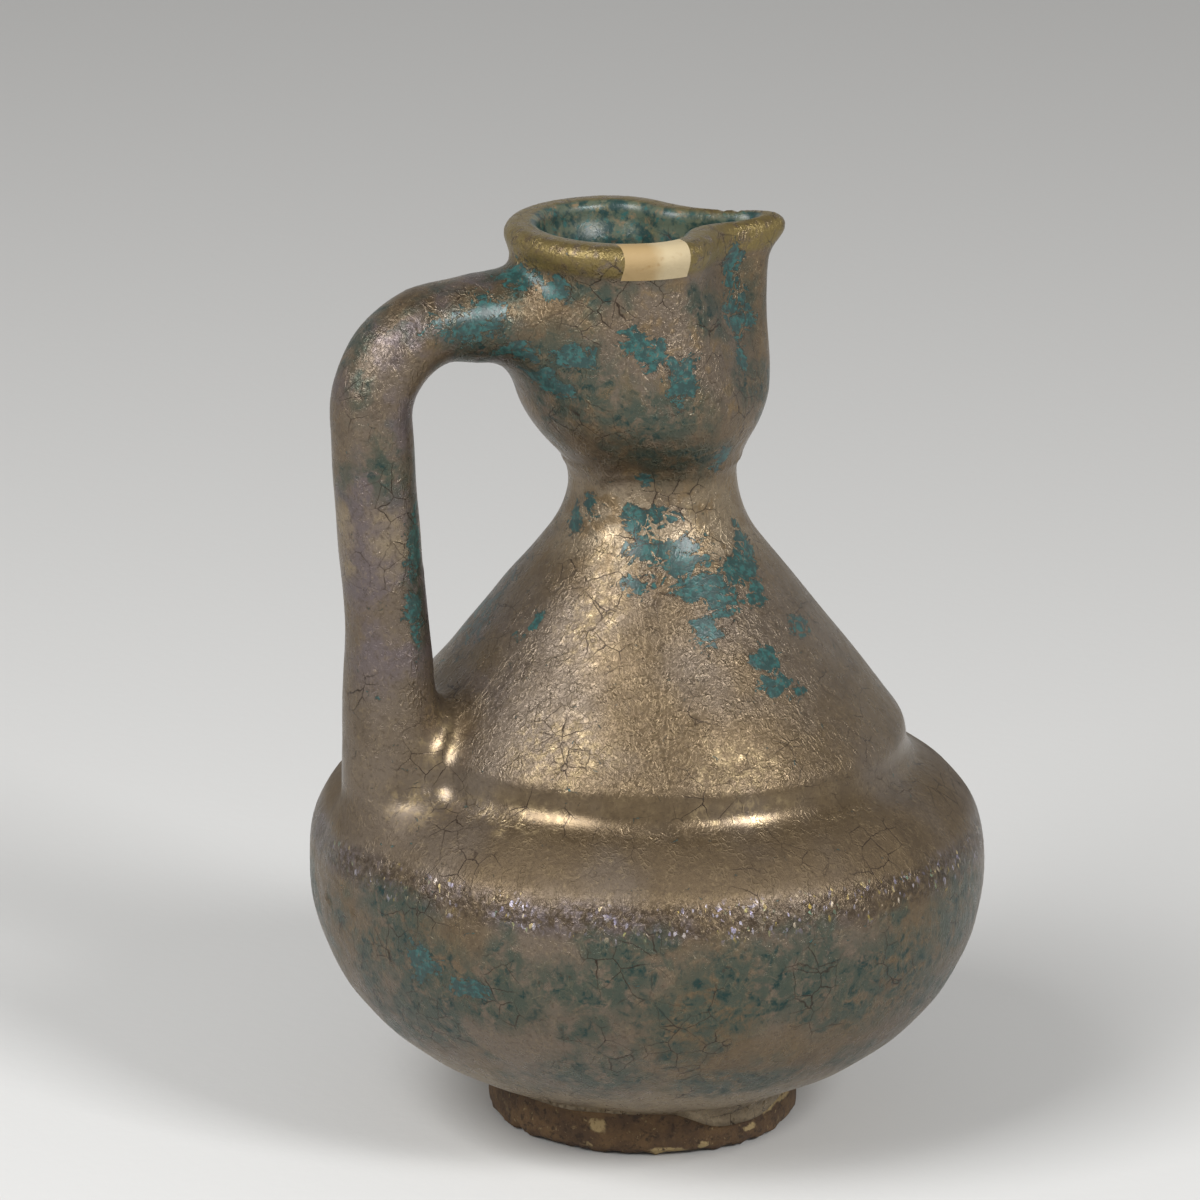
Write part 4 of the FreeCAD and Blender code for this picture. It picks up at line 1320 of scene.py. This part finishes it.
def foot_profile(sizes):
    """Half section of the foot ring, as (radius, height) pairs once round from the bore."""
    outer = sizes.foot_radius
    points = [(FOOT_BORE + out, height) for out, height in BORE_EDGE]
    points += [(outer - FOOT_WEAR - FOOT_FLAT, 0.0), (outer - FOOT_WEAR, 0.0)]
    for i in range(1, 7):
        turn = math.pi / 12 * i
        points.append((outer - FOOT_WEAR * (1 - math.sin(turn)), FOOT_WEAR * (1 - math.cos(turn))))
    points += [(outer, height) for height in WALL_HEIGHTS]
    depth = sizes.belly_height - sizes.bowl_base
    for radius in (outer, *TOP_RADII):
        share = 1 - (radius / sizes.belly_radius) ** sizes.bowl_fullness
        points.append((radius, sizes.belly_height - depth * share ** (1 / sizes.bowl_fullness)))
    return points + [points[0]]


RING_INPUTS = (
    # name, kind, and default in metres where it is a length
    ("Around", "Int", 200),
    ("Along", "Int", 44),
    ("Wear Size", "Float", 0.004),
    ("Wear Depth", "Float", 0.0006),
    ("Chip Size", "Float", 0.006),
    ("Chip Depth", "Float", 0.0012),
    ("Chip Height", "Float", 0.003),
    ("Seed", "Float", 3.7),
    ("Clay", "Material", None),
)
WEAR_FLOOR = 0.35  # noise over which the edge is worn
CHIP_FLOOR = 0.6


def ring_tree():
    """Geometry Nodes: turns an edge chain about the axis, and wears its lower edge"""
    tree = bpy.data.node_groups.new("Turned and worn ring", "GeometryNodeTree")
    sides = tree.interface
    sides.new_socket("Geometry", in_out="INPUT", socket_type="NodeSocketGeometry")
    for name, kind, default in RING_INPUTS:
        socket = sides.new_socket(name, in_out="INPUT", socket_type="NodeSocket" + kind)
        if default is not None:
            socket.default_value = default
    sides.new_socket("Geometry", in_out="OUTPUT", socket_type="NodeSocketGeometry")
    given = add(tree, "NodeGroupInput").node.outputs

    # a flat grid, laid round the axis: x becomes the turn and y the place along the section
    chain = add(tree, "GeometryNodeMeshToCurve", {"Mesh": given["Geometry"]})
    grid = {"Size X": 1.0, "Size Y": 1.0, "Vertices Y": given["Along"]}
    grid["Vertices X"] = add(tree, "Math", {0: given["Around"], 1: 1})
    grid = add(tree, "GeometryNodeMeshGrid", grid)
    spot = add(tree, "GeometryNodeInputPosition")
    spot = add(tree, "SeparateXYZ", {0: spot}).node.outputs
    turn = add(tree, "Math", {0: spot["X"], 1: math.tau}, operation="MULTIPLY")
    share = {"Curves": chain, "Factor": add(tree, "Math", {0: spot["Y"], 1: 0.5})}
    place = {"Vector": add(tree, "GeometryNodeSampleCurve", share, "Position"), "Angle": turn}
    place = add(tree, "VectorRotate", place, rotation_type="Z_AXIS")
    ring = add(tree, "GeometryNodeSetPosition", {"Geometry": grid, "Position": place})
    ring = add(tree, "GeometryNodeMergeByDistance", {"Geometry": ring, "Distance": 0.00001})

    # wear pulls the lower edge in towards the middle of the clay, and chips pull it more
    here = add(tree, "GeometryNodeInputPosition")
    height = add(tree, "SeparateXYZ", {0: here}, "Z")
    low = add(tree, "MapRange", {0: height, 1: given["Chip Height"], 2: 0.0}, **SMOOTH)
    heart = add(tree, "VectorMath", {0: here, 1: (1, 1, 0)}, operation="MULTIPLY")
    heart = add(tree, "VectorMath", {0: heart}, operation="NORMALIZE")
    heart = add(tree, "VectorMath", {0: heart, "Scale": HEART_RADIUS * MM}, operation="SCALE")
    heart = add(tree, "VectorMath", {0: heart, 1: (0, 0, HEART_HEIGHT * MM)})
    pull = add(tree, "VectorMath", {0: heart, 1: here}, operation="SUBTRACT")
    pull = add(tree, "VectorMath", {0: pull}, operation="NORMALIZE")
    amount = 0.0
    for kind, floor in (("Wear", WEAR_FLOOR), ("Chip", CHIP_FLOOR)):
        rate = add(tree, "Math", {0: 1.0, 1: given[kind + " Size"]}, operation="DIVIDE")
        cloud = {"Vector": here, "W": given["Seed"], "Scale": rate, "Detail": 3.0}
        cloud = add(tree, "TexNoise", cloud, noise_dimensions="4D")
        cloud = add(tree, "MapRange", {0: cloud, 1: floor, 2: floor + 0.2}, **SMOOTH)
        amount = {0: cloud, 1: given[kind + " Depth"], 2: amount}
        amount = add(tree, "Math", amount, operation="MULTIPLY_ADD")
    amount = add(tree, "Math", {0: amount, 1: low}, operation="MULTIPLY")
    pull = add(tree, "VectorMath", {0: pull, "Scale": amount}, operation="SCALE")
    ring = add(tree, "GeometryNodeSetPosition", {"Geometry": ring, "Offset": pull})
    ring = add(tree, "GeometryNodeRealizeInstances", {0: ring})
    ring = add(tree, "GeometryNodeSetMaterial", {"Geometry": ring, "Material": given["Clay"]})
    add(tree, "NodeGroupOutput", {"Geometry": ring})
    return tree


def made_plain(maker, name):
    """The evaluated result of an object's modifiers, as a plain mesh object of its own."""
    graph = bpy.context.evaluated_depsgraph_get()
    data = bpy.data.meshes.new_from_object(maker.evaluated_get(graph))
    chain = maker.data
    maker.modifiers.clear()
    bpy.data.objects.remove(maker)
    bpy.data.meshes.remove(chain)
    piece = bpy.data.objects.new(name, data)
    bpy.context.scene.collection.objects.link(piece)
    return piece


# ---------------------------------------------------------------- operators


def dress(piece, slot, *nodes):
    """Ties a finished piece to the frame's root body and hides the nodes it stands for; slot is not
    used.
    """
    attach(piece, "root")
    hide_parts(*nodes)


class EWER_OT_glaze_coat(bpy.types.Operator):
    """Makes the glaze coat: belly, cone, cup, spout, handle and the mouth's lining"""

    bl_idname = "ewer.glaze_coat"
    bl_label = "Glaze coat"

    def execute(self, context):
        sizes = shape_in_mm(context.scene)
        mesh = whole_skin(sizes)
        materials = [weathered_glaze(context.scene), lip_plaster(context.scene)]
        piece = shell_object("glaze_coat", mesh, materials, sizes.glaze * MM)
        dress(piece, "glaze", "outer_glaze", "mouth_lining")
        return {"FINISHED"}


class EWER_OT_filled_lip(bpy.types.Operator):
    """Takes the marked loss out of the coat's lip and makes the plaster that fills it"""

    bl_idname = "ewer.filled_lip"
    bl_label = "Filled lip"

    def execute(self, context):
        coat = bpy.data.objects["glaze_coat"]
        plaster = coat.data.materials[FILL_MARK]
        fill = bmesh.new()
        fill.from_mesh(coat.data)
        rest = fill.copy()
        keep_marked(fill, FILL_MARK)
        keep_marked(rest, 0)
        rest.to_mesh(coat.data)
        rest.free()
        coat.data.materials.pop(index=FILL_MARK)
        thickness = shape_in_mm(context.scene).glaze * MM
        piece = shell_object("lip_plaster", fill, [plaster], thickness)
        dress(piece, "fill", "lip_fill")
        return {"FINISHED"}


class EWER_OT_foot_ring(bpy.types.Operator):
    """Turns the foot ring and wears its lower edge"""

    bl_idname = "ewer.foot_ring"
    bl_label = "Foot ring"

    def execute(self, context):
        sizes = shape_in_mm(context.scene)
        points = foot_profile(sizes)
        chain = bpy.data.meshes.new("foot_section")
        links = [(i, i + 1) for i in range(len(points) - 1)]
        chain.from_pydata([(r * MM, 0, z * MM) for r, z in points], links, [])
        maker = bpy.data.objects.new("foot_maker", chain)
        context.scene.collection.objects.link(maker)
        tree = ring_tree()
        keys = {item.name: item.identifier for item in tree.interface.items_tree
                if item.in_out == "INPUT"}
        modifier = maker.modifiers.new("Ring", "NODES")
        modifier.node_group = tree
        modifier[keys["Clay"]] = foot_clay(context.scene)
        piece = made_plain(maker, "worn_foot_ring")
        mesh = bmesh.new()
        mesh.from_mesh(piece.data)
        bmesh.ops.recalc_face_normals(mesh, faces=mesh.faces)
        mesh.to_mesh(piece.data)
        mesh.free()
        piece.data.shade_smooth()
        dress(piece, "clay", "foot_ring")
        return {"FINISHED"}


class EWER_OT_clay_sections(bpy.types.Operator):
    """Gives the clay sections and the handle under the glaze their material"""

    bl_idname = "ewer.clay_sections"
    bl_label = "Clay sections"

    def execute(self, context):
        clay = inner_clay(context.scene)
        for node in CLAY_NODES:
            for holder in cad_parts[node].material_slots:
                holder.material = clay
        return {"FINISHED"}


def stand(azimuth, rise):
    """Direction from the ewer to something round it, from the front and above the level."""
    return Vector((
        math.sin(azimuth) * math.cos(rise),
        -math.cos(azimuth) * math.cos(rise),
        math.sin(rise),
    ))


# softboxes: name, degrees round from the front and over the level, distance and side in metres
SOFTBOXES = (
    ("left_softbox", -72.0, 42.0, 1.3, 0.7),
    ("right_softbox", 22.0, 35.0, 1.4, 0.4),
)
LIT_HEIGHT = 0.09


def softbox(name, azimuth, rise, distance, side, power):
    """A soft square light that faces the ewer."""
    lamp = bpy.data.lights.new(name, "AREA")
    lamp.size = side
    lamp.energy = power
    holder = bpy.data.objects.new(name, lamp)
    away = stand(math.radians(azimuth), math.radians(rise))
    holder.location = away * distance + Vector((0, 0, LIT_HEIGHT))
    holder.rotation_euler = away.to_track_quat("Z", "Y").to_euler()
    bpy.context.scene.collection.objects.link(holder)


def soft_room(stage):
    """Light of a white room: brightest at the level of the ewer, and darker overhead."""
    world = bpy.data.worlds.new("soft_room")
    world.use_nodes = True
    tree = world.node_tree
    tree.nodes.clear()
    aloft = add(tree, "TexCoord", out="Generated")
    aloft = add(tree, "SeparateXYZ", {0: aloft}, "Z")
    share = add(tree, "MapRange", {0: aloft, 1: 0.1, 2: 0.85}, **SMOOTH)
    shade = {SHARE: share, FIRST: stage.walls, SECOND: stage.ceiling}
    shade = add(tree, "Mix", shade, **COLOURS)
    light = add(tree, "Background", {"Color": shade, "Strength": stage.room})
    add(tree, "OutputWorld", {"Surface": light})
    return world


def place_camera(stage):
    """The camera at the photograph's angle, with its roll and with the frame's middle moved."""
    back = stand(stage.camera_turn, stage.camera_rise)
    level = Vector((math.cos(stage.camera_turn), math.sin(stage.camera_turn), 0))
    upright = back.cross(level)
    aim = Vector((0, 0, stage.aim_height)) + level * stage.aim_across + upright * stage.aim_up
    c, s = math.cos(stage.camera_roll), math.sin(stage.camera_roll)
    axes = Matrix((level * c + upright * s, upright * c - level * s, back)).transposed()
    lens = bpy.data.cameras.new("camera")
    lens.lens = stage.lens
    lens.sensor_width = 36.0
    camera = bpy.data.objects.new("camera", lens)
    place = Matrix.Translation(aim + back * stage.camera_distance)
    camera.matrix_world = place @ axes.to_4x4()
    return camera


class EWER_OT_stage(bpy.types.Operator):
    """Lays the board and sets the lights, the room's light and the camera"""

    bl_idname = "ewer.stage"
    bl_label = "Stage"

    def execute(self, context):
        scene = context.scene
        stage = scene.ewer_stage
        half = stage.board_size / 2
        data = bpy.data.meshes.new("board")
        corners = [(-half, -half, 0), (half, -half, 0), (half, half, 0), (-half, half, 0)]
        data.from_pydata(corners, [], [(0, 1, 2, 3)])
        data.materials.append(pale_board(scene))
        board = bpy.data.objects.new("board", data)
        scene.collection.objects.link(board)
        for box, power in zip(SOFTBOXES, (stage.left_power, stage.right_power)):
            softbox(*box, power)
        scene.world = soft_room(stage)
        scene.view_settings.view_transform = "Standard"
        scene.camera = place_camera(stage)
        scene.collection.objects.link(scene.camera)
        return {"FINISHED"}


class EWER_PT_panel(bpy.types.Panel):
    """Lists the steps, and the sizes and colours they use"""

    bl_idname = "EWER_PT_panel"
    bl_label = "Ewer"
    bl_space_type = "VIEW_3D"
    bl_region_type = "UI"
    bl_category = "Ewer"

    def draw(self, context):
        for step in STEPS:
            self.layout.operator(step.bl_idname)
        for group in (context.scene.ewer_shape, context.scene.ewer_finish, context.scene.ewer_stage):
            box = self.layout.box()
            for key in type(group).__annotations__:
                box.prop(group, key)


STEPS = (
    EWER_OT_glaze_coat,
    EWER_OT_filled_lip,
    EWER_OT_foot_ring,
    EWER_OT_clay_sections,
    EWER_OT_stage,
)
GROUPS = {"ewer_shape": EwerShape, "ewer_finish": EwerFinish, "ewer_stage": EwerStage}


def register():
    for kind in (*GROUPS.values(), *STEPS, EWER_PT_panel):
        bpy.utils.register_class(kind)
    for name, group in GROUPS.items():
        setattr(bpy.types.Scene, name, PointerProperty(type=group))


def unregister():
    for name in GROUPS:
        delattr(bpy.types.Scene, name)
    for kind in (EWER_PT_panel, *STEPS, *GROUPS.values()):
        bpy.utils.unregister_class(kind)


def main():
    register()
    bpy.ops.ewer.glaze_coat()
    bpy.ops.ewer.filled_lip()
    bpy.ops.ewer.foot_ring()
    bpy.ops.ewer.clay_sections()
    bpy.ops.ewer.stage()


if __name__ == "__main__":
    main()
